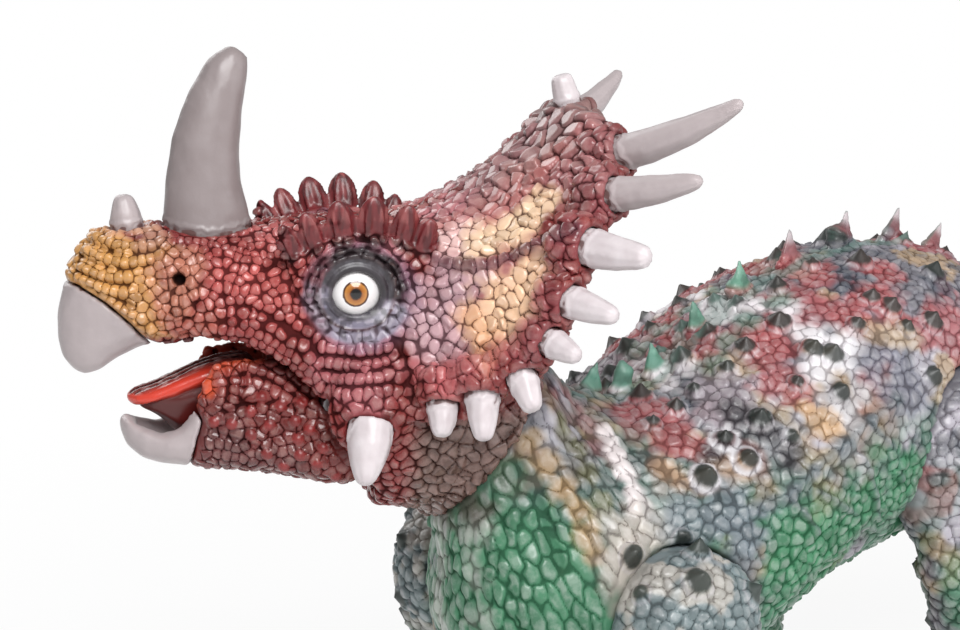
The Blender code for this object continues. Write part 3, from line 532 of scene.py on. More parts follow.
def paintedVinyl(name, s):
    made, tree, shader = newMaterial(name)
    crown, place = layerOf(tree, "crown"), placeOf(tree)
    marks = noise(tree, place, s["markMm"], 4.0, Roughness=0.6)
    # every scale has its own tone
    shift = span(tree, layerOf(tree, "scale"), 0, 1, 0.82 * s["value"], 1.2 * s["value"])
    paint = addNode(tree, "VertexColor", {"layer_name": "paint"})
    toned = addNode(tree, "HueSaturation", {"Saturation": s["saturation"], "Value": shift, "Color": paint})
    # dark paint in the grooves: partly the toy's wash, partly painted shade
    depth = span(tree, crown, 0.12, 0.5, s["washAndShade"], 0.0, interpolation_type="SMOOTHSTEP")
    washedAndShaded = mixed(tree, depth, toned, mixed(tree, 1.0, toned, s["washAndShadeTint"], "MULTIPLY"))
    # pale paint on the crowns: partly dry-brushed paint, partly painted highlight
    top = span(tree, crown, 0.70, 0.98, 0.0, 1.0)
    brushedAndHighlit = solve(tree, "MULTIPLY", top, span(tree, marks, 0.40, 0.62, 0.0, s["brushAndHighlight"]))
    pale = mixed(tree, 0.55, toned, s["brushAndHighlightTint"], "SCREEN")
    feed(tree, shader, {
        "Base Color": mixed(tree, brushedAndHighlit, washedAndShaded, pale),
        "Roughness": span(tree, crown, 0.2, 0.8, s["roughGroove"], s["roughCrown"]),
        "Normal": relief(tree, noise(tree, place, s["grainMm"], 2.0), 0.25, 0.05),
        "IOR": s["ior"],
        # the varnish sits on the crowns, and the grooves between them, with their wash and painted shade, are flat
        "Specular IOR Level": span(tree, crown, 0.2, 0.6, 0.08, 0.5),
        "Coat Weight": span(tree, crown, 0.35, 0.7, 0.0, 0.25),
        "Coat Roughness": 0.2,
    })
    return made


# Thick pale enamel over vinyl: smooth, half glossy, brown where it runs out at the root
hornVinyl = {
    "pale": "#d9d2d4",
    "shade": "#b7abae",
    "root": "#5d3a36",
    "rootFade": 0.10,
    "growthMm": 1.1,  # spacing of the faint growth rings
    "rough": 0.34,
    "ior": 1.5,
}


def hornPaint(name, s):
    made, tree, shader = newMaterial(name)
    place = placeOf(tree)
    shade, pale, root = ((*linear(s[key]), 1) for key in ("shade", "pale", "root"))
    streaks = noise(tree, place, s["growthMm"] * 3, 3.0)
    edge = solve(tree, "MULTIPLY_ADD", streaks, 0.8, layerOf(tree, "fromRoot"))
    brown = span(tree, edge, 0.42, 0.42 + s["rootFade"], 0.85, 0.0)
    feed(tree, shader, {
        "Base Color": mixed(tree, brown, mixed(tree, streaks, shade, pale), root),
        "Roughness": s["rough"],
        "IOR": s["ior"],
        "Normal": relief(tree, noise(tree, place, s["growthMm"], 3.0), 0.3, 0.12),
    })
    return made


vinylSkin = paintedVinyl("sprayedVinyl", skinVinyl)
bodyVinyl = paintedVinyl("sprayedBodyVinyl", dict(
    skinVinyl, saturation=0.85, value=0.78, washAndShade=0.62, washAndShadeTint=(0.22, 0.2, 0.2, 1),
    brushAndHighlight=0.42, brushAndHighlightTint=(0.6, 0.58, 0.58, 1), roughCrown=0.4))
# The grey and nose copies of the horns' white enamel are made darker as painted shade: on the nose horn, the nub and
# the lowest frill horns. The beaks' light grey is their own colour.
hornEnamel = hornPaint("hornEnamel", hornVinyl)
greyAndShadedEnamel = hornPaint("greyAndShadedHornEnamel", dict(hornVinyl, pale="#b4a9aa", shade="#a4999a", rootFade=0.08))
shadedNoseEnamel = hornPaint("shadedNoseHornEnamel", dict(hornVinyl, pale="#908686", shade="#837878", rootFade=0.08))


# Skins
bodies = frame["record"]["behaviour"]["bodies"]


def makeSkin(node, name, look, others=(), extras=()):
    # a CAD node's shape without its facets; the seats of other nodes keep their size
    piece = cadCopy(node, name)
    remesh(piece, look["coarse"])
    keep = 1 - clearOf(readPoints(piece.data), node, others, look["seatReach"]) if others else None
    evenOut(piece.data, look["evenRounds"], keep)
    addMesh(piece, extras)
    remesh(piece, look["fine"])
    evenOut(piece.data, 2)
    return piece, piece.data, readPoints(piece.data)


def raiseScales(piece, seeds, heights, lift, free, seed, plain=0, beads=0.5, space=None, wave=1.0):
    # every scale a rounded cobble with a groove round it; beads is how round they are
    mesh = piece.data
    co = readPoints(mesh)
    flat = co if space is None else space
    wander = np.stack([uneven(co, 1.7, seed + k) for k in (1, 2, 3)], 1)
    first, far, inside = cellsOver(flat + wander * np.reshape(wave, (-1, 1)), seeds)
    rng = np.random.default_rng(seed)
    tall = 0.65 + 0.7 * rng.random(len(seeds))
    # each scale leans its own way
    middles = np.array([place for place, _ in seeds])
    reach = np.array([r for _, r in seeds])[first]
    lean = rng.normal(0, 0.42, (len(seeds), 3))[first]
    tilt = np.clip(1 + (lean * (flat - middles[first])).sum(1) / reach, 0.5, 1.5)
    border = np.clip(inside / (0.55 + 0.75 * beads), 0, 1)
    crown = 1 - (1 - border) ** 2.2
    crown = crown * (1 - beads * ease(0.85, 1.45, far))
    total = (crown * tilt * heights * tall[first] + lift) * free
    writePoints(mesh, co + readNormals(mesh) * total[:, None])
    # paint takes bare places for half raised ones, and a fold gets more of the groove's dark paint as painted shade
    crown = crown + (0.6 - crown) * np.maximum(1 - free, plain)
    keepLayer(mesh, "crown", np.clip(crown + np.clip(lift, -0.5, 0) * 1.2, 0, 1))
    keepLayer(mesh, "scale", rng.random(len(seeds))[first])


def dress(piece, node, body, material):
    piece.data.materials.clear()
    piece.data.materials.append(material)
    piece.data.polygons.foreach_set("use_smooth", np.ones(len(piece.data.polygons), bool))
    piece.data.update()
    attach(piece, body)
    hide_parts(node)
    print(piece.name, len(piece.data.vertices), "points")


# Head: one casting with the snout, brow spikes, lids, cheeks and frill
headLook = {
    "coarse": 0.8, "fine": 0.29, "draftFine": 0.5,
    "evenRounds": 20,
    "seatReach": 1.6,
    "clear": 1.9,  # how near to other nodes the texture starts to fade
    "candidates": 70000,
    "height": 0.52,  # of the scales, before each one's own share
    "eye": (-4.3, 17.2, 3.6),  # middle of an eye from the head's own origin
}
headOthers = [n for n in bodies["head"] if n != "head"] + ["neck_plug"]

# How wide a leaf is at each share of its length
leafWidths = (
    (-0.4, 0.6), (0.0, 0.8), (0.25, 0.98), (0.5, 1.04), (0.7, 0.94), (0.84, 0.74), (0.93, 0.5), (0.98, 0.3),
    (1.0, 0.12),
)
# Leaves of a brow: place from the head's origin, lean along and out, length and half width
browLeafRows = (
    (-15.1, 18.4, 9.8, -0.48, 0.25, 8.5, 1.9), (-11.5, 19.0, 12.0, -0.37, 0.25, 8.7, 2.2),
    (-6.3, 19.4, 13.6, -0.20, 0.25, 9.0, 2.6), (-0.5, 19.6, 14.0, -0.02, 0.25, 9.2, 2.7),
    (5.1, 19.4, 12.4, 0.16, 0.25, 9.0, 2.4), (8.8, 19.0, 9.8, 0.28, 0.25, 8.8, 2.0),
)


def leafSpike(place, way, length, wide, thick, side):
    # one scale of the brow: a leaf with three ribs, its root sunk in the ridge
    axis = np.array(way, float)
    axis /= np.linalg.norm(axis)
    flat = np.array((0, side, 0)) - axis * axis[1] * side
    flat /= np.linalg.norm(flat)
    across = np.cross(axis, flat)
    rings = []
    for t, w in leafWidths:
        ring = []
        for a in turnsOf(20):
            rib = 1 + 0.28 * math.cos(6 * a) * (1 - abs(t - 0.3))
            out = across * math.cos(a) * wide + flat * math.sin(a) * thick
            ring.append(np.array(place) + axis * length * t + out * w * rib)
        rings.append(fromHead(ring))
    return loftMesh("leaf", rings)


def browLeaves():
    return [
        leafSpike((x, y * side, z), (lean, out * side, 1.0), length, wide, wide * 0.6, side)
        for side in (-1, 1) for x, y, z, lean, out, length, wide in browLeafRows
    ]


def aboveBrow(x, z):
    return z - np.interp(x, [r[0] for r in browLeafRows], [r[2] for r in browLeafRows])


# Rolls of skin round an eye: reach from its middle, how far out, thickness, and how much lower below
lidRolls = ((5.35, 4.35, 0.85, 0.0), (7.0, 3.9, 0.85, 0.3), (8.7, 2.9, 0.95, 0.6), (10.4, 1.7, 1.0, 1.2))


def lidRoll(side, reach, out, thick, drop):
    cx, cy, cz = headLook["eye"]
    outward = np.array((0, side, 0))
    rings = []
    for a in turnsOf(36):
        below, above = max(-math.sin(a), 0), max(math.sin(a), 0)
        x = cx + math.cos(a) * reach * 1.05
        z = cz + math.sin(a) * reach * (0.93 + 0.06 * above)
        middle = np.array((x, side * (cy + out - drop * below), z))
        radial = np.array((math.cos(a), 0, math.sin(a)))
        w = thick * (1 + 0.25 * above - 0.15 * below)
        rings.append(fromHead([middle + (radial * math.cos(b) + outward * math.sin(b)) * w for b in turnsOf(10)]))
    return loftMesh("lid", rings, True)


# Points of the picture are written x, y, x, y and so on.
# Rows of scales on the near side, each mirrored to the far side
snoutRows = (
    (104, 297, 116, 306, 130, 312, 143, 318),
    (67, 270, 79, 278, 93, 284, 109, 289, 129, 294),
    (71, 258, 83, 267, 97, 274, 112, 278, 131, 277),
    (76, 246, 90, 251, 105, 259, 123, 263, 137, 262, 152, 259, 167, 255),
    (86, 232, 98, 239, 117, 246, 136, 248, 154, 246, 163, 241),
)
# Radius of the scales, then the row
scaleRows = [(0.90, *line) for line in snoutRows] + [
    (0.8, 173, 241, 193, 241, 209, 244, 229, 248, 249, 254, 267, 256, 280, 254),
    (0.95, 162, 333, 172, 338, 184, 338, 196, 340),
    (1.0, 212, 337, 226, 338, 243, 339, 262, 345, 279, 355, 295, 366, 308, 381, 318, 396, 328, 412, 336, 430),
    (0.95, 214, 328, 232, 330, 252, 333, 270, 341, 287, 351, 303, 363, 315, 377, 325, 392),
    (1.0, 322, 347, 340, 349, 358, 350, 376, 349, 394, 346),
    (1.0, 320, 362, 338, 364, 356, 365, 374, 364, 392, 360),
    (1.0, 328, 377, 345, 379, 362, 379, 380, 377, 393, 373),
    (1.05, 330, 392, 346, 394, 363, 394, 380, 392, 394, 388),
    (1.3, 436, 260, 448, 263, 460, 265, 473, 266, 486, 265, 497, 263, 510, 259, 521, 254, 534, 247, 545, 240,
        560, 233, 574, 227),
    (1.15, 512, 300, 524, 290, 536, 279, 546, 266, 556, 252),
    (1.15, 418, 372, 432, 376, 448, 374, 466, 366, 484, 358, 500, 350, 514, 336),
]
# Folds: width and depth, then the line
headFolds = (
    (0.75, -0.55, 200, 343, 226, 345, 250, 349, 272, 358, 290, 371, 305, 388, 316, 405, 326, 424),
    (0.4, -0.6, 322, 355, 340, 357, 358, 358, 376, 357, 394, 353),
    (0.4, -0.6, 322, 370, 338, 371, 356, 372, 374, 371, 392, 367),
    (0.4, -0.6, 326, 384, 345, 386, 362, 387, 380, 385, 394, 381),
    (0.9, 0.5, 322, 362, 338, 364, 356, 365, 374, 364, 390, 360),
    (0.9, 0.5, 325, 378, 345, 380, 362, 380, 380, 378, 393, 374),
    (0.9, -0.9, 398, 340, 404, 360, 408, 380, 411, 400),
    (0.8, -0.6, 312, 340, 320, 360, 326, 384, 334, 408, 342, 424),
    (0.55, -0.5, 436, 251, 460, 256, 486, 256, 510, 250, 534, 238, 560, 224),
    (1.5, 0.75, 436, 260, 460, 265, 486, 265, 510, 259, 534, 247, 560, 233),
    (0.9, 0.75, 165, 279, 168, 270, 176, 266, 186, 268, 193, 276, 192, 287),
    (0.35, -0.4, 176, 288, 170, 303),
    (0.35, -0.4, 181, 289, 182, 306),
    (0.35, -0.4, 187, 287, 196, 303),
    (0.5, -0.5, 198, 300, 192, 312, 184, 322),
    (0.5, -0.4, 166, 300, 172, 314),
    (0.9, 0.5, 148, 330, 164, 326, 180, 325, 196, 330),
    (1.3, 0.7, 232, 318, 252, 322, 276, 331, 296, 345, 314, 363, 330, 386),
    (0.5, -0.45, 246, 309, 268, 314, 290, 326, 306, 340),
    (0.5, -0.6, 262, 270, 282, 262, 298, 266),
    (0.6, -0.6, 296, 288, 300, 302, 312, 312),
    (1.3, 0.7, 268, 284, 278, 280, 288, 286, 284, 296),
    (0.4, -0.35, 157, 327, 175, 322, 196, 316),
    (0.6, -0.3, 285, 235, 300, 228, 318, 224, 340, 224),
)


def onPicture(tree, line):
    spots = (spotAt(tree, x, y) for x, y in zip(line[::2], line[1::2]))
    return [s for s in spots if s is not None]


def bothSides(spots, mirror):
    return [q for p in spots for q in (p, mirror(p)[0])]


def rowSeeds(tree, mirror, rows):
    # the scales of the rows, in millimetres, on both sides
    made = []
    for radius, *line in rows:
        spots = onPicture(tree, line)
        if len(spots) > 1:
            made += [(p, radius) for p in bothSides(along(spots, radius * 1.9), mirror)]
    return made


def foldLift(co, tree, points, mirror, folds):
    lift = np.zeros(len(co))
    lines = []
    for width, height, *line in folds:
        spots = onPicture(tree, line)
        if len(spots) > 1:
            lines += [(spots, width, height), ([mirror(p)[0] for p in spots], width, height)]
    creases(points, lines, lift)
    return lift


nostril = {"spot": (179, 279), "radius": 1.35, "depth": 2.1}


def openNostrils(co, tree, points, lift):
    # sinks them and returns how far inside one each point is
    inside = np.zeros(len(co))
    for p in bothSides(onPicture(tree, nostril["spot"]), mirrorHead):
        for _, i, d in points.find_range(p, nostril["radius"] * 2.2):
            inside[i] = max(inside[i], 1 - ease(0.5, 1.15, d / nostril["radius"]))
    lift -= inside * nostril["depth"]
    return inside


def between(first, second):
    # a line half way between two rows
    steps = np.linspace(0, 1, 12)
    ends = [
        np.array([np.interp(steps, np.linspace(0, 1, len(line) // 2), line[k::2]) for k in (0, 1)])
        for line in (first, second)
    ]
    return ((ends[0] + ends[1]) / 2).T.ravel()


def headRadii(co):
    x, y, z = toHead(co).T
    shield = ease(6, 18, x)
    radius = 0.92 + 0.15 * ease(-22, -4, x) + 0.16 * shield
    radius += 0.75 * shield * ease(20, 30, z) * (1 - ease(15, 27, np.abs(y)))
    radius -= 0.25 * ease(14, 20, z) * (1 - shield)
    return radius * (0.86 + 0.28 * valueNoise(co, 6, 3))


def aroundEye(co):
    # distance from the nearer eye's axis, and height above its middle
    local = toHead(co)
    cx, cy, cz = headLook["eye"]
    dx, dz = local[:, 0] - cx, local[:, 2] - cz
    beside = ease(cy - 7, cy - 3, np.abs(local[:, 1]))
    return np.hypot(dx / 1.05, dz), dx, dz, beside


def paintSpots(colours, co, tree, spots, mirror):
    # radius, colour and strength, then points of the near side, each mirrored too
    ragged = 0.9 * uneven(co, 5, 5) + 0.5 * uneven(co, 1.6, 6)
    for radius, code, strength, *line in spots:
        spray(colours, co, bothSides(onPicture(tree, line), mirror), radius, code, strength, ragged)


headPaint = (
    # the first row is painted highlight along the top of the head
    (7, "#b4605f", 0.68, 330, 205, 390, 235, 360, 215, 300, 225, 410, 225, 270, 240),
    (8, "#ac4844", 0.7, 240, 262, 280, 280, 230, 300, 265, 310),
    (12, "#ab6764", 0.85, 450, 230, 500, 220, 540, 160, 470, 300, 520, 300, 560, 150, 500, 180, 440, 350, 440,
        210),
    (8, "#8c5658", 0.8, 560, 130, 590, 120, 600, 150, 590, 190, 570, 170, 545, 120),
    (8, "#9c5f66", 0.7, 480, 180, 500, 165, 470, 195, 520, 145, 450, 205),
    (6.5, "#b08b92", 0.8, 436, 290, 450, 310, 430, 330, 448, 270, 470, 285, 425, 350, 455, 335),
    (5, "#d3aca8", 0.85, 452, 246, 470, 242, 440, 240),
    (5, "#dbba98", 0.85, 497, 236, 515, 232, 480, 245, 530, 222, 540, 208),
    (5.5, "#dfb692", 0.85, 516, 300, 500, 296, 530, 288, 508, 318, 535, 275, 490, 312),
    (4.0, "#cf9d74", 0.7, 478, 330, 484, 345, 472, 318, 488, 360),
    (4.5, "#7b2f35", 0.75, 560, 262, 552, 300, 540, 330, 575, 240, 600, 205, 525, 350),
    (4.5, "#a0474b", 0.7, 430, 378, 450, 376, 470, 366, 495, 362, 415, 370),
    (1.7, "#5a2a33", 0.85, 436, 262, 448, 264, 460, 266, 473, 267, 486, 266, 497, 264, 510, 260, 521, 255, 534,
        248, 545, 241, 560, 234, 574, 228),
    (6, "#9c5258", 0.65, 340, 375, 370, 380, 350, 360, 380, 365, 360, 395, 340, 345, 370, 345),
    (5.5, "#862e2c", 0.8, 222, 320, 250, 322, 275, 335),
    (5.5, "#bd8744", 0.95, 95, 262, 120, 290, 110, 245, 85, 245, 130, 255, 75, 262, 140, 275, 105, 275, 90, 280,
        148, 262),
    (4.5, "#b47f44", 0.95, 150, 300, 150, 322, 138, 310, 160, 300, 165, 325, 126, 318),
    (4, "#99483a", 0.85, 188, 330, 200, 333, 178, 318, 205, 322),
    (3.6, "#a5654f", 0.85, 180, 272, 188, 285, 172, 285, 180, 300, 192, 268, 166, 270),
    (3.2, "#b58468", 0.9, 120, 228, 135, 232, 105, 226, 148, 230),
    (3.0, "#a5735c", 0.7, 150, 236, 160, 240, 145, 246),
)


def paintHead(co, tree):
    colours = plainCoat(co, "#74201f")
    paintSpots(colours, co, tree, headPaint, mirrorHead)
    x, y, z = toHead(co).T
    reach, dx, dz, beside = aroundEye(co)
    blur = 1.8 * uneven(co, 1.8, 9)
    lower = ease(1.0, -1.0, dz + 0.25 * dx)
    front = ease(-4, -7, dx)

    def within(inner, outer, soft=0.0):
        # 1 round an eye as far as inner, 0 from outer on
        return beside * (1 - ease(inner, outer, reach + soft * blur))

    # lids: mauve grey below, near black above, with a dark seam and specks
    tint(
        colours,
        (within(10.0, 13.0, 1) * 0.5 * (1 - front), "#83708a"),
        (within(9.6, 11.5, 1) * front * 0.7, "#7c4f5c"),
        (within(9.4, 10.6, 0.5) * lower * (1 - 0.5 * front), "#8c8494"),
        (within(8.8, 10.6, 1) * (1 - lower) * (1 - 0.6 * front), "#2f2327"),
        (beside * np.exp(-((reach - 7.3) / 0.35) ** 2) * lower, "#3a151c"),
        (within(6.7, 7.2) * (1 - lower), "#403c42"),
        (within(6.6, 7.0) * lower, "#6d6878"),
        (ease(0.45, 0.62, valueNoise(co, 0.9, 15)) * within(8.5, 10) * 0.45 * lower, "#b7afba"),
        (ease(0.5, 0.66, valueNoise(co, 1.1, 16)) * within(9, 10) * 0.6, "#2a2328"),
        (within(5.2, 5.9) * 0.8, "#2b262b"),
    )
    # leaves of the brow: deep red with dark and pale streaks, and near black at the root as painted shade where each
    # leaf sinks into the ridge
    leaves = np.zeros(len(co))
    for side in (-1, 1):
        for lx, ly, lz, lean, out, length, wide in browLeafRows:
            half = length * 0.5
            away = (x - lx - lean * half, y - (ly + out * half) * side, (z - lz - half) * 0.62)
            d = np.sqrt(sum(a ** 2 for a in away))
            leaves = np.maximum(leaves, 1 - ease(wide * 1.2, wide * 1.75, d))
    rise = aboveBrow(x, z)
    drawn = co * np.array((1, 1, 0.22))
    tint(
        colours,
        (leaves * ease(-1.0, 0.5, rise), "#6a1d21"),
        (leaves * ease(0.5, 0.68, valueNoise(drawn, 0.8, 18)) * ease(0, 2, rise) * 0.6, "#3a0f13"),
        (leaves * ease(0.52, 0.7, valueNoise(drawn, 0.8, 19)) * ease(3, 6, rise) * 0.45, "#a05a58"),
        (leaves * (1 - ease(0.0, 2.6, rise)) * ease(-2.0, -0.5, rise) * 0.8, "#241013"),
    )
    # inside the mouth, then the back of the shield and the nape
    throat = np.interp(x, (-50, -43, -37, -24, -18), (3.0, 7.4, 9.6, 10.6, 8.0))
    inside = ease(-3.0, -6.0, z) * ease(-12, -16, x) * (1 - ease(throat, throat + 0.8, np.abs(y)))
    nape = ease(4, 10, x + 1.5 * uneven(co, 4, 17)) * ease(-20, -25, z)
    behind = ease(16, 26, x) * (1 - ease(12, 20, np.abs(y)))
    tint(colours, (inside, "#5a1416"), (nape * 0.8, "#594a41"), (behind * 0.5, "#6f5f5c"))
    return colours


def buildHead():
    rolls = [lidRoll(side, *roll) for side in (-1, 1) for roll in lidRolls]
    piece, mesh, co = makeSkin("head", "headSkin", headLook, headOthers, browLeaves() + rolls)
    tree, points = treeOf(mesh), pointTree(co)
    free = clearOf(co, "head", headOthers, headLook["clear"])
    seeds = scatter(co, headRadii(co), rowSeeds(tree, mirrorHead, scaleRows), headLook["candidates"], 11)
    # the snout's rows stand out as ropes with a furrow between each two
    ropes = [(1.15, 0.95, *line) for line in snoutRows]
    furrows = [(0.38, -0.6, *between(a, b)) for a, b in zip(snoutRows, snoutRows[1:])]
    lift = foldLift(co, tree, points, mirrorHead, [*headFolds, *ropes, *furrows])
    holes = openNostrils(co, tree, points, lift)
    # rings above an eye and spokes below it
    reach, dx, dz, beside = aroundEye(co)
    ripple = 0.26 * np.cos(reach * 2 * math.pi / 1.25 + 2.2 * uneven(co, 2.5, 14)) * ease(-1.5, 1.5, dz)
    lift += ripple * beside * ease(6.7, 7.8, reach) * (1 - ease(10.2, 12.0, reach))
    spokes = 0.16 * (np.cos(np.arctan2(dz, dx) * 34) * 0.5 + 0.5) * ease(0, -2, dz)
    lift -= spokes * beside * ease(7.2, 7.8, reach) * (1 - ease(9.6, 10.4, reach))
    # lids, brow leaves and nostrils have no scales
    x, y, z = toHead(co).T
    lids = beside * (1 - ease(10.0, 11.2, reach)) * (1 - 0.5 * ease(6.8, 7.4, reach))
    leafy = ease(1.0, 2.2, aboveBrow(x, z)) * ease(15.5, 17.5, np.abs(y))
    leafy *= (1 - ease(11, 14, x)) * ease(-19, -17, x)
    smooth = 1 - np.maximum(np.maximum(lids, leafy), holes)
    # the frill's scales are the tallest, the snout's the flattest
    tall = 1 + 0.35 * ease(6, 16, x) + 0.8 * ease(8, 16, x) * ease(17, 27, z)
    beads = 0.85 - 0.5 * ease(6, 18, x) - 0.35 * ease(-30, -36, x) - 0.3 * ease(-6, -10, z)
    wave = 1 - 0.75 * ease(-30, -36, x)
    colours = paintHead(co, tree)
    tint(colours, (holes * 0.95, "#33130e"))
    raiseScales(piece, seeds, headLook["height"] * smooth * tall, lift, free, 12, 1 - smooth, beads, None, wave)
    keepColours(mesh, "paint", colours)
    dress(piece, "head", "head", vinylSkin)


buildHead()


# Lower jaw: tubercles over small plates, orange where the lip turns in
jawLook = {
    "coarse": 0.7, "fine": 0.29, "draftFine": 0.5,
    "evenRounds": 14,
    "seatReach": 1.6,
    "clear": 1.9,
    "radius": 1.02,
    "candidates": 20000,
    "height": 0.42,
    "tubercle": (1.35, 1.15),  # radius and height
}
jawOthers = ["lower_beak", "tongue", "head", "jaw_pin"]
jawRows = (
    (0.95, 221, 345, 229, 362, 234, 378, 234, 392, 229, 408),
    (0.95, 210, 352, 217, 368, 221, 384, 219, 400, 213, 414),
    (1.05, 242, 352, 256, 358, 270, 366),
    (1.05, 244, 366, 258, 370, 274, 376, 288, 384),
    (1.1, 246, 380, 260, 384, 276, 390, 292, 398),
    (1.0, 183, 446, 196, 444, 210, 442, 224, 442, 236, 446),
    (1.0, 184, 456, 198, 455, 212, 454, 226, 455, 240, 458, 254, 462, 270, 468),
)
jawTubercles = (
    251, 435, 270, 425, 298, 439, 323, 448, 317, 464, 284, 466, 267, 454, 281, 406, 302, 403, 295, 421, 214, 422, 232,
    424, 250, 412, 310, 430, 300, 455, 336, 476, 262, 398,
)
jawFolds = (
    (0.5, -0.6, 216, 352, 224, 368, 229, 384, 227, 402),
    (0.4, -0.5, 236, 350, 243, 366, 246, 382, 240, 400),
    (0.45, -0.55, 246, 360, 268, 368, 292, 382, 312, 398),
    (0.45, -0.55, 242, 374, 264, 378, 286, 388, 304, 402),
    (0.5, -0.5, 222, 412, 246, 404, 272, 402, 296, 410),
    (0.4, -0.4, 190, 434, 214, 432, 240, 440, 262, 448),
    (0.9, 0.5, 250, 366, 272, 374, 292, 388),
)
jawPaint = (
    (5, "#86342e", 0.6, 210, 360, 222, 380, 215, 400),
    (7, "#562727", 0.7, 215, 445, 190, 450, 240, 455, 270, 465, 225, 430, 195, 430),
    (5, "#873634", 0.6, 260, 380, 280, 390, 250, 365),
    (1.6, "#c8481f", 0.9, 202, 352, 206, 366, 209, 380, 210, 392),
)


def bumpsAt(points, places, radius, height, lift):
    # round warts; returns how near its wart each point is
    near = np.zeros(len(lift))
    for place in places:
        for _, i, d in points.find_range(place, radius * 1.7):
            near[i] = max(near[i], max(1 - (d / radius) ** 2, 0) ** 0.6)
    lift += near * height
    return near


def buildJaw():
    piece, mesh, co = makeSkin("lower_jaw", "jawSkin", jawLook, jawOthers)
    tree, points = treeOf(mesh), pointTree(co)
    free = clearOf(co, "lower_jaw", jawOthers, jawLook["clear"])
    rows = rowSeeds(tree, mirrorHead, jawRows)
    seeds = scatter(co, np.full(len(co), jawLook["radius"]), rows, jawLook["candidates"], 21)
    lift = np.zeros(len(co))
    warts = bumpsAt(points, bothSides(onPicture(tree, jawTubercles), mirrorHead), *jawLook["tubercle"], lift)
    lift += foldLift(co, tree, points, mirrorHead, jawFolds)
    x, y, z = toHead(co).T
    trough = np.interp(x, (-47, -42, -36, -30, -24, -19), (2.6, 5.4, 7.4, 8.8, 9.2, 7.2))
    inside = 1 - ease(trough + 0.2, trough + 0.9, np.abs(y))
    inside *= ease(-30.5, -28.5, z) * ease(-12, -15, x)
    lip = np.exp(-((np.abs(y) - trough - 0.9) / 0.9) ** 2) * ease(-24, -21, z) * ease(-14, -18, x)
    colours = plainCoat(co, "#651612")
    paintSpots(colours, co, tree, jawPaint, mirrorHead)
    tint(colours, (ease(0.25, 0.6, warts) * 0.85, "#7d1f1e"), (inside, "#6a1a14"), (lip * 0.85, "#c2451e"))
    heights = jawLook["height"] * (1 - ease(0.2, 0.6, warts)) * (1 - inside)
    raiseScales(piece, seeds, heights, lift, free, 22, np.maximum(ease(0.3, 0.7, warts), inside), 0.35)
    keepColours(mesh, "paint", colours)
    dress(piece, "lower_jaw", "jaw", vinylSkin)


buildJaw()


# Horns and beaks: smooth casts under thick pale enamel, its edge ragged where it meets the skin
hornLook = {
    "coarse": 0.6, "fine": 0.3, "draftFine": 0.42,
    "evenRounds": 46,
    "dent": 0.09,  # the enamel's slow unevenness
    "grooves": 0.05,
    "lip": 0.22,  # how far the enamel stands out where it ends
}
noseLook = dict(hornLook, coarse=1.0, grooves=0.02, dent=0.12)
beakLook = dict(hornLook, coarse=0.7, evenRounds=30, grooves=0.0, dent=0.10, lip=0.12)


def rootDistance(co, node):
    # millimetres from the skin that the piece stands on
    tree = treeOf(frame["nodes"][node].data)
    return np.array([tree.find_nearest(p)[3] for p in (co * mm).tolist()]) / mm


def buildHorn(node, look, material, skin="head", body="head"):
    piece, mesh, co = makeSkin(node, node + "_enamel", look)
    away = rootDistance(co, skin)
    middle = co.mean(0)
    axis = np.linalg.svd(co[:: max(1, len(co) // 800)] - middle, full_matrices=False)[2][0]
    offset = co - middle
    flatPart = offset - (offset @ axis)[:, None] * axis
    side = np.cross(axis, (0.3, 0.2, 0.93))
    turn = np.arctan2(flatPart @ side, flatPart @ np.cross(axis, side))
    bare = ease(0.3, 1.2, away)
    dent = uneven(co, 3.2, 61) * look["dent"] * 2
    flute = np.cos(turn * 9 + 3 * valueNoise(co, 6, 62)) * look["grooves"] * ease(0.5, 2.5, away)
    ragged = away + 0.9 * uneven(co, 1.1, 63)
    lip = look["lip"] * ease(0.45, 0.7, ragged) * (1 - ease(0.9, 1.8, ragged))
    writePoints(mesh, co + readNormals(mesh) * ((dent + flute) * bare + lip)[:, None])
    keepLayer(mesh, "fromRoot", np.clip(ragged / 3.0, 0, 1))
    dress(piece, node, body, material)


# the nose horn, the nub and the two lowest frill horns get the darker copies as painted shade
hornPaints = {f"frill_horn_{side}_{k}": greyAndShadedEnamel for side in ("left", "right") for k in (1, 2)}
hornPaints.update(nose_horn=shadedNoseEnamel, nose_nub=greyAndShadedEnamel)
for node in bodies["head"]:
    if "horn" in node or node == "nose_nub":
        buildHorn(node, noseLook if node == "nose_horn" else hornLook, hornPaints.get(node, hornEnamel))
buildHorn("upper_beak", beakLook, greyAndShadedEnamel)
buildHorn("lower_beak", beakLook, greyAndShadedEnamel, "lower_jaw", "jaw")
print("horns and beaks ready")


# Tongue: glossy orange red, with a dry brown wrinkled top
tongueLook = {"coarse": 0.6, "fine": 0.28, "draftFine": 0.4, "evenRounds": 40}


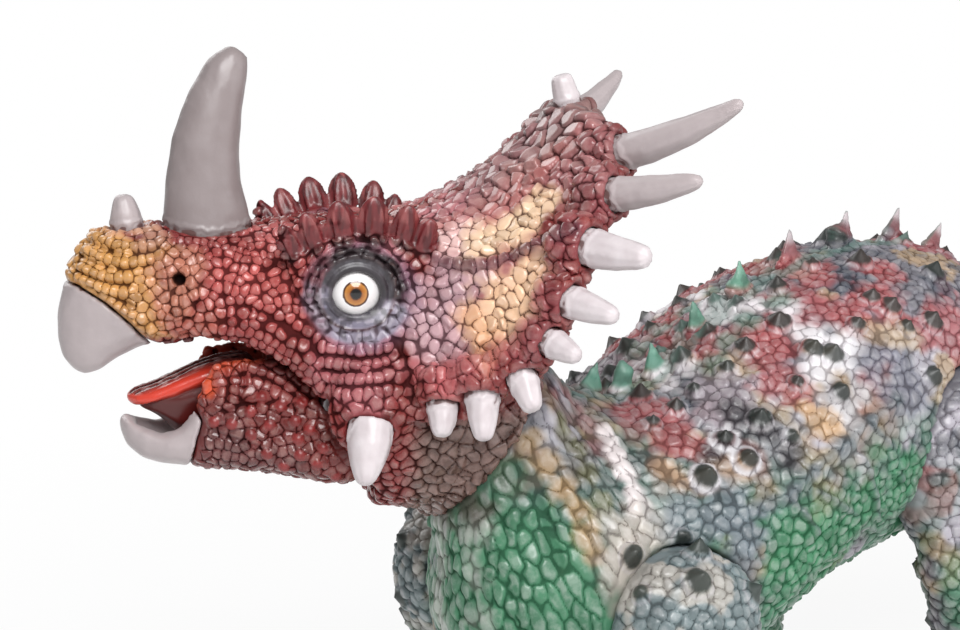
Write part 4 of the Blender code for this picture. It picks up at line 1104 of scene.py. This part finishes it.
def buildTongue():
    piece, mesh, co = makeSkin("tongue", "tongueSkin", tongueLook)
    normals = readNormals(mesh)
    x, y, z = toHead(co).T
    top = ease(0.45, 0.85, normals[:, 2] + 0.35 * uneven(co, 2, 71))
    top *= 1 - ease(3.0, 4.6, np.abs(y))
    wrinkle = np.cos(y * 2 * math.pi / 1.5 + 2.5 * valueNoise(co, 3, 72)) * 0.12 + uneven(co, 0.9, 73) * 0.24
    furrow = -0.5 * np.exp(-(y / 0.7) ** 2)
    # the strap is as thick as its red edge; what carries it below is drawn in and painted dark, as painted shadow
    # under the strap
    bins = np.round(x).astype(int)
    crest = {b: z[bins == b].max() for b in set(bins.tolist())}
    marks = sorted(crest)
    line = np.convolve(np.pad([crest[b] for b in marks], 2, "edge"), np.ones(5) / 5, "valid")
    below = np.interp(x, marks, line) - z
    shadowedUnderpart = ease(2.9, 3.9, below + 0.5 * uneven(co, 2.5, 75))
    edge = 0.35 * np.exp(-((below - 2.0) / 1.0) ** 2)
    out = (wrinkle + furrow) * top + (edge - 0.8 * shadowedUnderpart) * (1 - top)
    writePoints(mesh, co + normals * (out * nearOthers(co, ["lower_jaw", "lower_beak"], 0.8))[:, None])
    colours = plainCoat(co, "#c9321a")
    dry = top * ease(0.5, 0.8, valueNoise(co, 1.1, 74)) * 0.7
    # the dark below the strap is painted shadow
    tint(colours, (shadowedUnderpart * 0.93, "#3a0c0d"), (top, "#713430"), (dry, "#b98f8c"))
    keepColours(mesh, "paint", colours)
    keepLayer(mesh, "crown", np.where(top > 0.5, 0.5 + wrinkle * 2.2 + furrow, 0.62))
    keepLayer(mesh, "scale", np.full(len(co), 0.5))
    wetVinyl = paintedVinyl("glossyVinyl", dict(skinVinyl, roughCrown=0.2, roughGroove=0.45))
    dress(piece, "tongue", "jaw", wetVinyl)


buildTongue()


# Eyes: white enamel balls, the iris and pupil stamped on, under one coat of clear gloss
eyeLook = {
    "coarse": 0.5, "fine": 0.3, "draftFine": 0.4,
    "evenRounds": 6,
    "white": "#e9e6e6", "iris": "#9c5c22", "irisPale": "#b97c38", "irisDark": "#4a260e", "irisRim": "#4a2a16",
    "pupil": "#0c0a0b",
    "ball": 5.93,  # radius
    "irisRadius": 2.6, "pupilRadius": 0.98,
    "rampReach": 6.0,  # how far out from the middle of the pupil the colours are set
    "gaze": 0.05,  # how far the iris sits forward of the ball's middle, as a share of its radius
}


def eyeEnamel(s):
    made, tree, shader = newMaterial("eyeEnamel")
    # the stamped edges wander a little
    jitter = solve(tree, "MULTIPLY_ADD", noise(tree, placeOf(tree), 0.625, 3.0), 0.24, -0.12)
    reach = solve(tree, "ADD", layerOf(tree, "ring"), jitter)
    ramp = tree.nodes.new("ShaderNodeValToRGB")
    feed(tree, ramp, {"Fac": solve(tree, "DIVIDE", reach, s["rampReach"])})
    iris, pupil = s["irisRadius"], s["pupilRadius"]
    stops = [
        (0.0, s["pupil"]), (pupil - 0.08, s["pupil"]), (pupil + 0.12, s["irisDark"]), (1.35, s["iris"]),
        (iris - 0.45, s["irisPale"]), (iris - 0.22, s["irisDark"]), (iris, s["irisRim"]),
        (iris + 0.16, s["white"]), (5.2, s["white"]),
    ]
    band = ramp.color_ramp
    while len(band.elements) < len(stops):
        band.elements.new(0.5)
    for element, (at, code) in zip(band.elements, stops):
        element.position = at / s["rampReach"]
        element.color = (*linear(code), 1)
    feed(tree, shader, {
        "Base Color": ramp.outputs["Color"], "Roughness": 0.16, "IOR": 1.5, "Coat Weight": 0.7, "Coat Roughness": 0.05,
    })
    return made


def buildEye(node, side, material):
    # a true ball, since the iris has to be round
    piece, mesh, co = makeSkin(node, node + "_ball", eyeLook)
    middle = np.array(middleOf(node)[:]) / mm
    out = co - middle
    out /= np.linalg.norm(out, axis=1)[:, None]
    co = middle + out * eyeLook["ball"]
    writePoints(mesh, co)
    gaze = np.array((-eyeLook["gaze"], side, 0.02)) @ headBasis
    gaze /= np.linalg.norm(gaze)
    keepLayer(mesh, "ring", np.linalg.norm(co - (middle + gaze * eyeLook["ball"]), axis=1))
    dress(piece, node, "head", material)


enamel = eyeEnamel(eyeLook)
buildEye("eye_left", -1, enamel)
buildEye("eye_right", 1, enamel)
print("eyes ready")


# Torso, legs and tail
bodyLook = {
    "coarse": 1.2, "fine": 0.43, "draftFine": 0.8,
    "evenRounds": 24,
    "seatReach": 2.0,
    "clear": 2.5,
    "radius": 1.22,
    "candidates": 90000,
    "height": 0.55,
    "cone": (2.1, 2.7),  # half width and height of the body's conical bumps
}
torsoCones = (
    652, 426, 675, 411, 707, 337, 661, 357, 777, 290, 796, 385, 839, 394, 831, 357, 724, 441, 759, 421, 790, 438, 747,
    461, 704, 479, 682, 541, 632, 558, 694, 392, 737, 309, 779, 324, 856, 327, 889, 309, 839, 237, 901, 242, 859, 265,
    727, 371, 745, 350, 812, 268, 870, 300, 640, 400, 905, 330, 812, 352,
)
ringedCones = (831, 357, 724, 441, 704, 479, 745, 461)
torsoFolds = (
    (1.6, 1.3, 785, 495, 812, 470, 840, 445, 868, 420, 895, 402),
    (0.9, 0.8, 817, 491, 845, 508, 873, 528),
    (0.9, 0.7, 793, 501, 805, 516, 817, 532),
    (0.9, 0.8, 844, 440, 862, 460, 872, 485, 876, 515),
    (0.9, 0.7, 868, 424, 890, 445, 900, 480),
    (2.0, 0.9, 625, 372, 660, 345, 700, 310, 735, 285),
    (1.4, -0.6, 640, 455, 665, 470, 700, 492, 735, 500),
    (1.4, -0.6, 690, 350, 705, 380, 712, 410),
    (1.5, -0.7, 770, 305, 790, 340, 800, 372),
    (1.4, -0.6, 850, 280, 872, 310, 880, 345),
    (0.9, -0.5, 795, 508, 822, 483, 850, 458, 878, 433),
    (3.2, 1.0, 520, 400, 545, 440, 570, 485, 590, 530, 603, 575),
    (2.0, 0.7, 545, 400, 575, 445, 600, 490, 615, 530),
    (1.5, -0.8, 500, 425, 520, 465, 545, 515, 560, 565),
    (1.2, -0.5, 560, 400, 590, 440, 618, 480),
    (1.8, 0.6, 470, 440, 490, 480, 515, 530, 535, 580),
    (2.2, 0.8, 605, 432, 618, 460, 630, 490, 640, 515),
)
torsoPaint = (
    (13, "#2f7f56", 0.85, 480, 520, 500, 560, 530, 590, 550, 560, 470, 560, 520, 620, 480, 620, 560, 620, 440,
        600),
    (5, "#b9bdb4", 0.7, 442, 560, 440, 600, 446, 630, 440, 520),
    (6, "#574b42", 0.8, 455, 480, 470, 455, 495, 430, 450, 500),
    (6, "#6d5048", 0.8, 500, 395, 470, 410, 530, 390),
    (3.4, "#aa8856", 0.9, 516, 415, 530, 440, 545, 465, 560, 490, 575, 512, 588, 535, 596, 555),
    (3.2, "#72734e", 0.8, 560, 425, 575, 450, 590, 475, 602, 500),
    (4, "#95696b", 0.8, 570, 400, 585, 425, 596, 445, 560, 385),
    (2.9, "#f6eaea", 0.92, 605, 437, 614, 455, 624, 475, 632, 495, 638, 510),
    (3.5, "#e6e0e4", 0.85, 620, 384, 632, 378, 660, 372, 640, 362),
    (5.4, "#a44246", 0.9, 620, 412, 640, 405, 660, 412, 676, 425, 668, 440, 690, 445),
    (5.4, "#a93c40", 0.92, 690, 346, 715, 342, 745, 338, 762, 333, 770, 345),
    (5.4, "#a5464a", 0.9, 760, 360, 775, 372, 790, 385, 800, 400, 770, 385),
    (5.8, "#a63a3e", 0.9, 800, 275, 815, 280, 790, 268, 822, 268),
    (5.8, "#aa3e43", 0.9, 845, 312, 865, 302, 880, 292, 890, 315, 855, 325, 868, 268, 882, 275),
    (4, "#9c474e", 0.8, 902, 235, 912, 245, 930, 250),
    (4.5, "#a8736b", 0.85, 745, 275, 765, 270, 778, 265, 735, 285),
    (4.6, "#a498a1", 0.85, 700, 385, 715, 400, 730, 385, 740, 402, 705, 415, 722, 425),
    (4.2, "#f4eef2", 0.92, 740, 310, 760, 306, 785, 310, 725, 316),
    (5.0, "#f2eef2", 0.92, 810, 335, 830, 345, 845, 362, 820, 370, 850, 350),
    (4.2, "#c4c0c2", 0.85, 825, 405, 845, 410, 862, 395, 850, 425),
    (4.8, "#413d43", 0.88, 735, 415, 755, 425, 770, 430, 720, 455, 790, 455),
    (6, "#7c7c8c", 0.8, 870, 365, 890, 355, 905, 375, 890, 395, 915, 400),
    (3.6, "#c59a68", 0.9, 805, 410, 820, 420, 832, 430),
    (4, "#bfa585", 0.75, 875, 335, 895, 335, 910, 340),
    (3.6, "#b9916b", 0.85, 680, 482, 700, 488, 720, 480, 665, 470, 740, 470),
    (6, "#c3b9ae", 0.8, 620, 540, 640, 560, 615, 570, 650, 530, 635, 590),
    (8, "#6f7d86", 0.8, 690, 520, 720, 510, 745, 525, 700, 560, 740, 560, 770, 520),
    (10, "#238252", 0.92, 790, 560, 815, 580, 800, 540, 840, 540, 870, 500, 900, 480, 930, 470, 860, 560, 900,
        520, 960, 470, 990, 480),
    (2.4, "#59636c", 0.9, 790, 495, 812, 472, 840, 447, 868, 422, 895, 400),
    (4, "#5f8a79", 0.75, 640, 350, 665, 332, 690, 312, 715, 292),
)


def mottle(co, seed, low, high):
    # hand-sprayed patches where the picture shows none: red on top, pale between, green below
    top = ease(low - 6, high + 6, co[:, 2] + 24 * (blotch(co, 13, seed) - 0.5))
    colours = plainCoat(co, "#77757f")
    tint(
        colours,
        (ease(0.48, 0.62, blotch(co, 12, seed + 1)) * 0.85, "#bdb6c2"),
        (ease(0.54, 0.66, blotch(co, 11, seed + 2)) * 0.8, "#b9976e"),
        (ease(0.49, 0.6, blotch(co, 13, seed + 3)) * top * 0.9, "#a5444a"),
        (ease(0.56, 0.68, blotch(co, 9, seed + 4)) * 0.8, "#4f5563"),
        ((1 - top) * ease(0.2, 0.4, blotch(co, 15, seed + 5)) * 0.88, "#2f7f56"),
    )
    return colours


def cones(co, points, places, lift, colours, tip, ringed=()):
    # pointed bumps with dark tips, some in a pale ring
    radius, height = bodyLook["cone"]
    near = np.zeros(len(co))
    for k, place in enumerate(places):
        share = 0.8 + 0.4 * ((k * 37) % 10) / 10
        for _, i, d in points.find_range(place, radius * 1.6 * share):
            t = max(1 - d / (radius * 1.6 * share), 0) ** 0.95
            near[i] = max(near[i], t * share)
    lift += near * height
    for place in ringed:
        d = np.sqrt(((co - place) ** 2).sum(1))
        tint(colours, (np.exp(-((d - radius * 1.45) / 0.6) ** 2) * 0.9, "#e2dfe4"))
    foot = ease(0.02, 0.1, near) * (1 - ease(0.16, 0.26, near)) * 0.35
    tint(colours, (foot, "#d6d0d6"), (ease(0.24, 0.46, near) * 0.93, tip))
    return near


def leanUp(mesh, near):
    # the bumps point up and a little back
    co = readPoints(mesh)
    writePoints(mesh, co + (np.clip(near, 0, 1) ** 1.5)[:, None] * np.array((0.35, 0, 1.0)))


def spacedOut(co, count, apart, seed, where):
    # random places at least that far apart, among the points that where marks
    rng = np.random.default_rng(seed)
    chosen = []
    options = np.flatnonzero(where)
    if not len(options):
        return chosen
    for i in rng.choice(options, min(len(options), 4000), replace=False):
        if all(np.linalg.norm(co[i] - p) > apart for p in chosen):
            chosen.append(co[i])
        if len(chosen) == count:
            break
    return chosen


def creaseMark(co, points, tree, mirror, folds):
    # how near each point is to one of the raised lines
    mark = foldLift(co, tree, points, mirror, [(width * 0.7, 1.0, *line) for width, _, *line in folds])
    return np.clip(mark, 0, 1)


def ridgeTips(node):
    # tips of the spikes that the CAD part carries along its back, front to back
    shape = bmesh.new()
    shape.from_mesh(frame["nodes"][node].data)
    bmesh.ops.remove_doubles(shape, verts=shape.verts, dist=weldMm * mm)
    found = []
    for v in shape.verts:
        edges = [(e.calc_length() / mm, (v.co.z - e.other_vert(v).co.z) / mm) for e in v.link_edges]
        short = sum(length < 1.3 for length, _ in edges)
        steep = any(length > 2.5 and drop > 0.6 * length for length, drop in edges)
        p = np.array(v.co[:]) / mm
        onRidge = v.normal.z > 0.1 and p[2] > 60 and abs(p[1] - bodyMiddleY) < 20
        if short > 1 and steep and onRidge and all(np.linalg.norm(p - q) > 3 for q in found):
            found.append(p)
    shape.free()
    return sorted(found, key=lambda p: p[0])


# Fins over those spikes: how high they stand above a tip, half length, half thickness and depth of the root,
# how far the root lies behind, and how wide they are at each share of the way down
finLook = {
    "above": 0.7, "half": 4.4, "thick": 1.5, "root": 12.0, "lean": 0.25,
    "widths": ((0.0, 0.05), (0.06, 0.14), (0.2, 0.3), (0.4, 0.55), (0.6, 0.78), (0.8, 0.95), (1.0, 1.0)),
    "paint": (8.0, 8.5, 2.6),  # how far its paint reaches: round the tip, down and to a side
}


def finMeshes(tips, scale):
    made = []
    sideways = np.array((0, 1, 0))
    for k, tip in enumerate(tips):
        run = tips[min(k + 1, len(tips) - 1)] - tips[max(k - 1, 0)]
        run = run / max(np.linalg.norm(run), 1e-6)
        rise = np.cross(run, sideways)
        rise = rise / np.linalg.norm(rise) * (1 if rise[2] > 0 else -1)
        size = scale[0] + (scale[1] - scale[0]) * k / max(len(tips) - 1, 1)
        rings = []
        for t, w in finLook["widths"]:
            depth = finLook["root"] * t
            middle = tip + rise * (finLook["above"] - depth) * size - run * depth * finLook["lean"] * size
            rings.append([
                middle + (run * math.cos(a) * finLook["half"] + sideways * math.sin(a) * finLook["thick"]) * w * size
                for a in turnsOf(16)
            ])
        made.append(loftMesh("fin", rings))
    return made


def fins(co, points, tips):
    # how far up a fin each point is
    reach, down, beside = finLook["paint"]
    near = np.zeros(len(co))
    for tip in tips:
        for _, i, d in points.find_range(tip, reach):
            if co[i, 2] > tip[2] - down and abs(co[i, 1] - tip[1]) < beside:
                near[i] = max(near[i], 1 - d / reach)
    return near


torsoOthers = ["head", "neck_plug", "tail", "tail_plug"] + [n for l in limbs for n in (l, l + "_plug")]


def neckGrain(co):
    # stretches the pattern down the neck, so that its scales come out long and narrow
    grain = np.array((0.42, 0.0, -0.91))
    k = 0.45 + 0.55 * ease(-88, -60, co[:, 0] + 0.45 * (110 - co[:, 2]))
    return co + ((k - 1) * ((co - co.mean(0)) @ grain))[:, None] * grain


backTips = ridgeTips("torso")
tailTips = ridgeTips("tail")
print("spikes along the back and the tail:", len(backTips), len(tailTips))


def buildTorso():
    piece, mesh, co = makeSkin("torso", "torsoSkin", bodyLook, torsoOthers, finMeshes(backTips, (0.9, 1.0)))
    tree, points = treeOf(mesh), pointTree(co)
    fromMiddle = np.abs(co[:, 1] - bodyMiddleY)
    free = clearOf(co, "torso", torsoOthers, bodyLook["clear"])
    radius = bodyLook["radius"] * (0.8 + 0.45 * valueNoise(co, 9, 31))
    space = neckGrain(co)
    seeds = scatter(space, radius, [], bodyLook["candidates"], 31)
    colours = mottle(co, 32, 70, 110)
    paintSpots(colours, co, tree, torsoPaint, mirrorBody)
    lift = foldLift(co, tree, points, mirrorBody, torsoFolds)
    # the cones of the picture, then some where it shows none
    seen, ringed = (bothSides(onPicture(tree, line), mirrorBody) for line in (torsoCones, ringedCones))
    where = (co[:, 0] > 0) & (co[:, 2] > 80) & (free > 0.9) & (fromMiddle > 7)
    for p in spacedOut(co, 34, 9, 33, where):
        if all(np.linalg.norm(p - q) > 8 for q in seen):
            seen.append(p)
    near = cones(co, points, seen, lift, colours, "#1d2822", ringed)
    # the front fins are teal, those over the hips red with pale tips
    spikes, later = fins(co, points, backTips[:5]), fins(co, points, backTips[5:])
    ridge = ease(5, 2.5, fromMiddle) * ease(0.3, 0.8, readNormals(mesh)[:, 2]) * ease(98, 106, co[:, 2])
    tint(
        colours,
        (ease(0.15, 0.4, spikes) * 0.9, "#4d9a80"),
        (ease(0.6, 0.85, spikes) * 0.4, "#8fc4ae"),
        (ease(0.15, 0.4, later) * 0.85, "#8f4a50"),
        (ease(0.5, 0.85, later) * 0.75, "#d8d0d4"),
        (ridge * 0.6, "#62897d"),
        (creaseMark(co, points, tree, mirrorBody, torsoFolds[:5]) * 0.6, "#69757a"),
    )
    bare = np.maximum(ease(0.25, 0.6, near), ease(0.1, 0.4, np.maximum(spikes, later)) * 0.8)
    raiseScales(piece, seeds, bodyLook["height"] * (1 - bare), lift, free, 32, bare, 0.55, space)
    leanUp(mesh, near * free)
    keepColours(mesh, "paint", colours)
    dress(piece, "torso", "body", bodyVinyl)


# Toes of a foot, and how far above the floor the sole lies
footLook = {"toe": 7.5, "high": 8, "sole": 0.05}


def buildLimb(node, plug, seed, low, high, bumps, tips=()):
    others = ["torso", plug]
    piece, mesh, co = makeSkin(node, node + "_skin", bodyLook, others, finMeshes(tips, (0.8, 0.35)))
    points = pointTree(co)
    z = co[:, 2]
    free = clearOf(co, node, others, bodyLook["clear"])
    radius = bodyLook["radius"] * (0.8 + 0.45 * valueNoise(co, 9, seed))
    seeds = scatter(co, radius, [], bodyLook["candidates"] // 3, seed)
    colours = mottle(co, seed + 1, low, high)
    if "front" in node:
        slate = ease(34, 60, z + 26 * (blotch(co, 9, seed + 5) - 0.5)) * 0.85
        pale = ease(0.48, 0.6, blotch(co, 7, seed + 6)) * ease(36, 56, z) * 0.75
        tint(colours, (slate, "#76828a"), (pale, "#bfb7ac"))
    lift = np.zeros(len(co))
    where = (free > 0.9) & (z > low * 0.6) & (np.abs(co[:, 1] - bodyMiddleY) > 6)
    near = cones(co, points, spacedOut(co, bumps, 8, seed + 2, where), lift, colours, "#27332c")
    nails = np.zeros(len(co))
    if "leg" in node:
        forward = readNormals(mesh)[:, 0]
        across = co[:, 1] - co[z < footLook["high"], 1].mean()
        toes = ease(-0.55, 0.1, np.cos(across * 2 * math.pi / footLook["toe"]))
        nails = ease(8.5, 6.5, z) * ease(-0.25, -0.6, forward) * toes
        lift += 0.5 * nails - 0.5 * (1 - toes) * ease(10, 7, z) * ease(-0.2, -0.5, forward)
    spikes = fins(co, points, tips)
    tint(colours, (nails, "#8d8683"), (ease(0.4, 0.6, spikes) * 0.85, "#4d9a80"))
    bare = np.maximum(np.maximum(ease(0.25, 0.6, near), nails), ease(0.4, 0.7, spikes))
    raiseScales(piece, seeds, bodyLook["height"] * (1 - bare), lift, free, seed + 3, bare, 0.55)
    leanUp(mesh, near * free)
    # soles stand flat on the floor
    co = readPoints(mesh)
    co[:, 2] = np.maximum(co[:, 2], footLook["sole"])
    writePoints(mesh, co)
    keepColours(mesh, "paint", colours)
    dress(piece, node, node, bodyVinyl)


buildTorso()
buildLimb("tail", "tail_plug", 141, 70, 95, 14, tailTips)
for i, leg in enumerate(limbs):
    low, high = (75, 110) if "front" in leg else (50, 90)
    buildLimb(leg, leg + "_plug", 151 + 20 * i, low, high, 10)
print("body ready")


# Plugs and pin: bare injection-moulded plastic with fine mould bloom, and drawn steel wire
def plainMaterial(name, colour, rough, metal, grainMm):
    made, tree, shader = newMaterial(name)
    bloom = noise(tree, placeOf(tree), grainMm, 4.0)
    dull, bright = ((*[min(c * share, 1) for c in linear(colour)], 1) for share in (0.8, 1.2))
    feed(tree, shader, {
        "Base Color": mixed(tree, bloom, dull, bright),
        "Roughness": span(tree, bloom, 0, 1, rough * 0.8, rough * 1.2),
        "Metallic": metal,
        "Normal": relief(tree, bloom, 0.2, 0.03),
    })
    return made


plugPlastic = plainMaterial("plugAcetal", "#2a2a2c", 0.45, 0.0, 0.4)
pinSteel = plainMaterial("pinSteel", "#9a9a9c", 0.3, 1.0, 0.2)
for name, node in frame["nodes"].items():
    if name.endswith("_plug") or name == "jaw_pin":
        for place in node.material_slots:
            place.material = pinSteel if name == "jaw_pin" else plugPlastic


# Room: pale floor and soft studio light
room = {
    "floor": "#f6f6f6",
    "floorRough": 0.8,
    "keyWatts": 4.3,
    "fillWatts": 1.0,
    "skyStrength": 0.34,
    "white": (0.15, 0.45, 0.88, 1.0),  # metres from the figure, and how much of the paper is blown out there
}
# Lamps: place, what they point at, width and power
lampRows = (
    ("keyLamp", (-330, -420, 520), (-90, 0, 110), 420, room["keyWatts"]),
    ("fillLamp", (220, -520, 300), (0, 0, 90), 500, room["fillWatts"]),
    ("backLamp", (-60, 480, 420), (-60, 0, 100), 420, room["fillWatts"]),
)


def areaLamp(name, place, aim, size, watts):
    data = bpy.data.lights.new(name, "AREA")
    data.shape = "DISK"
    data.size = size * mm
    data.energy = watts
    lamp = linked(name, data)
    place, aim = Vector(place) * mm, Vector(aim) * mm
    lamp.matrix_world = Matrix.Translation(place) @ (aim - place).to_track_quat("-Z", "Y").to_matrix().to_4x4()
    return lamp


def makeSky(s):
    scene = bpy.context.scene
    scene.view_settings.view_transform = "Standard"
    world = scene.world or bpy.data.worlds.new("room")
    scene.world = world
    world.use_nodes = True
    tree = world.node_tree
    seen = addNode(tree, "LightPath", {}, "Is Camera Ray")
    strength = span(tree, seen, 0, 1, s["skyStrength"], 1.0)
    feed(tree, tree.nodes["Background"], {"Color": (1, 1, 1, 1), "Strength": strength})


def makeFloor(s):
    bpy.ops.mesh.primitive_grid_add(x_subdivisions=8, y_subdivisions=8, size=6)
    floor = bpy.context.object
    floor.name = "floor"
    made, tree, shader = newMaterial("paperFloor")
    floor.data.materials.append(made)
    feed(tree, shader, {"Base Color": (*linear(s["floor"]), 1), "Roughness": s["floorRough"]})
    # the paper keeps its shadow near the figure and is plain white farther off
    rays = [addNode(tree, "LightPath", {}, f"Is {kind} Ray") for kind in ("Camera", "Glossy", "Transmission")]
    seen = solve(tree, "ADD", solve(tree, "ADD", *rays[:2]), rays[2], use_clamp=True)
    away = addNode(tree, "VectorMath", {"operation": "LENGTH", 0: placeOf(tree)}, "Value")
    part = solve(tree, "MULTIPLY", seen, span(tree, away, *s["white"]))
    glow = addNode(tree, "Emission", {"Color": (1, 1, 1, 1), "Strength": 1.0})
    out = next(n for n in tree.nodes if n.type == "OUTPUT_MATERIAL")
    feed(tree, out, {"Surface": addNode(tree, "MixShader", {0: part, 1: shader.outputs[0], 2: glow})})
    return floor


makeSky(room)
floor = makeFloor(room)
lamps = [areaLamp(*row) for row in lampRows]
print("room ready")
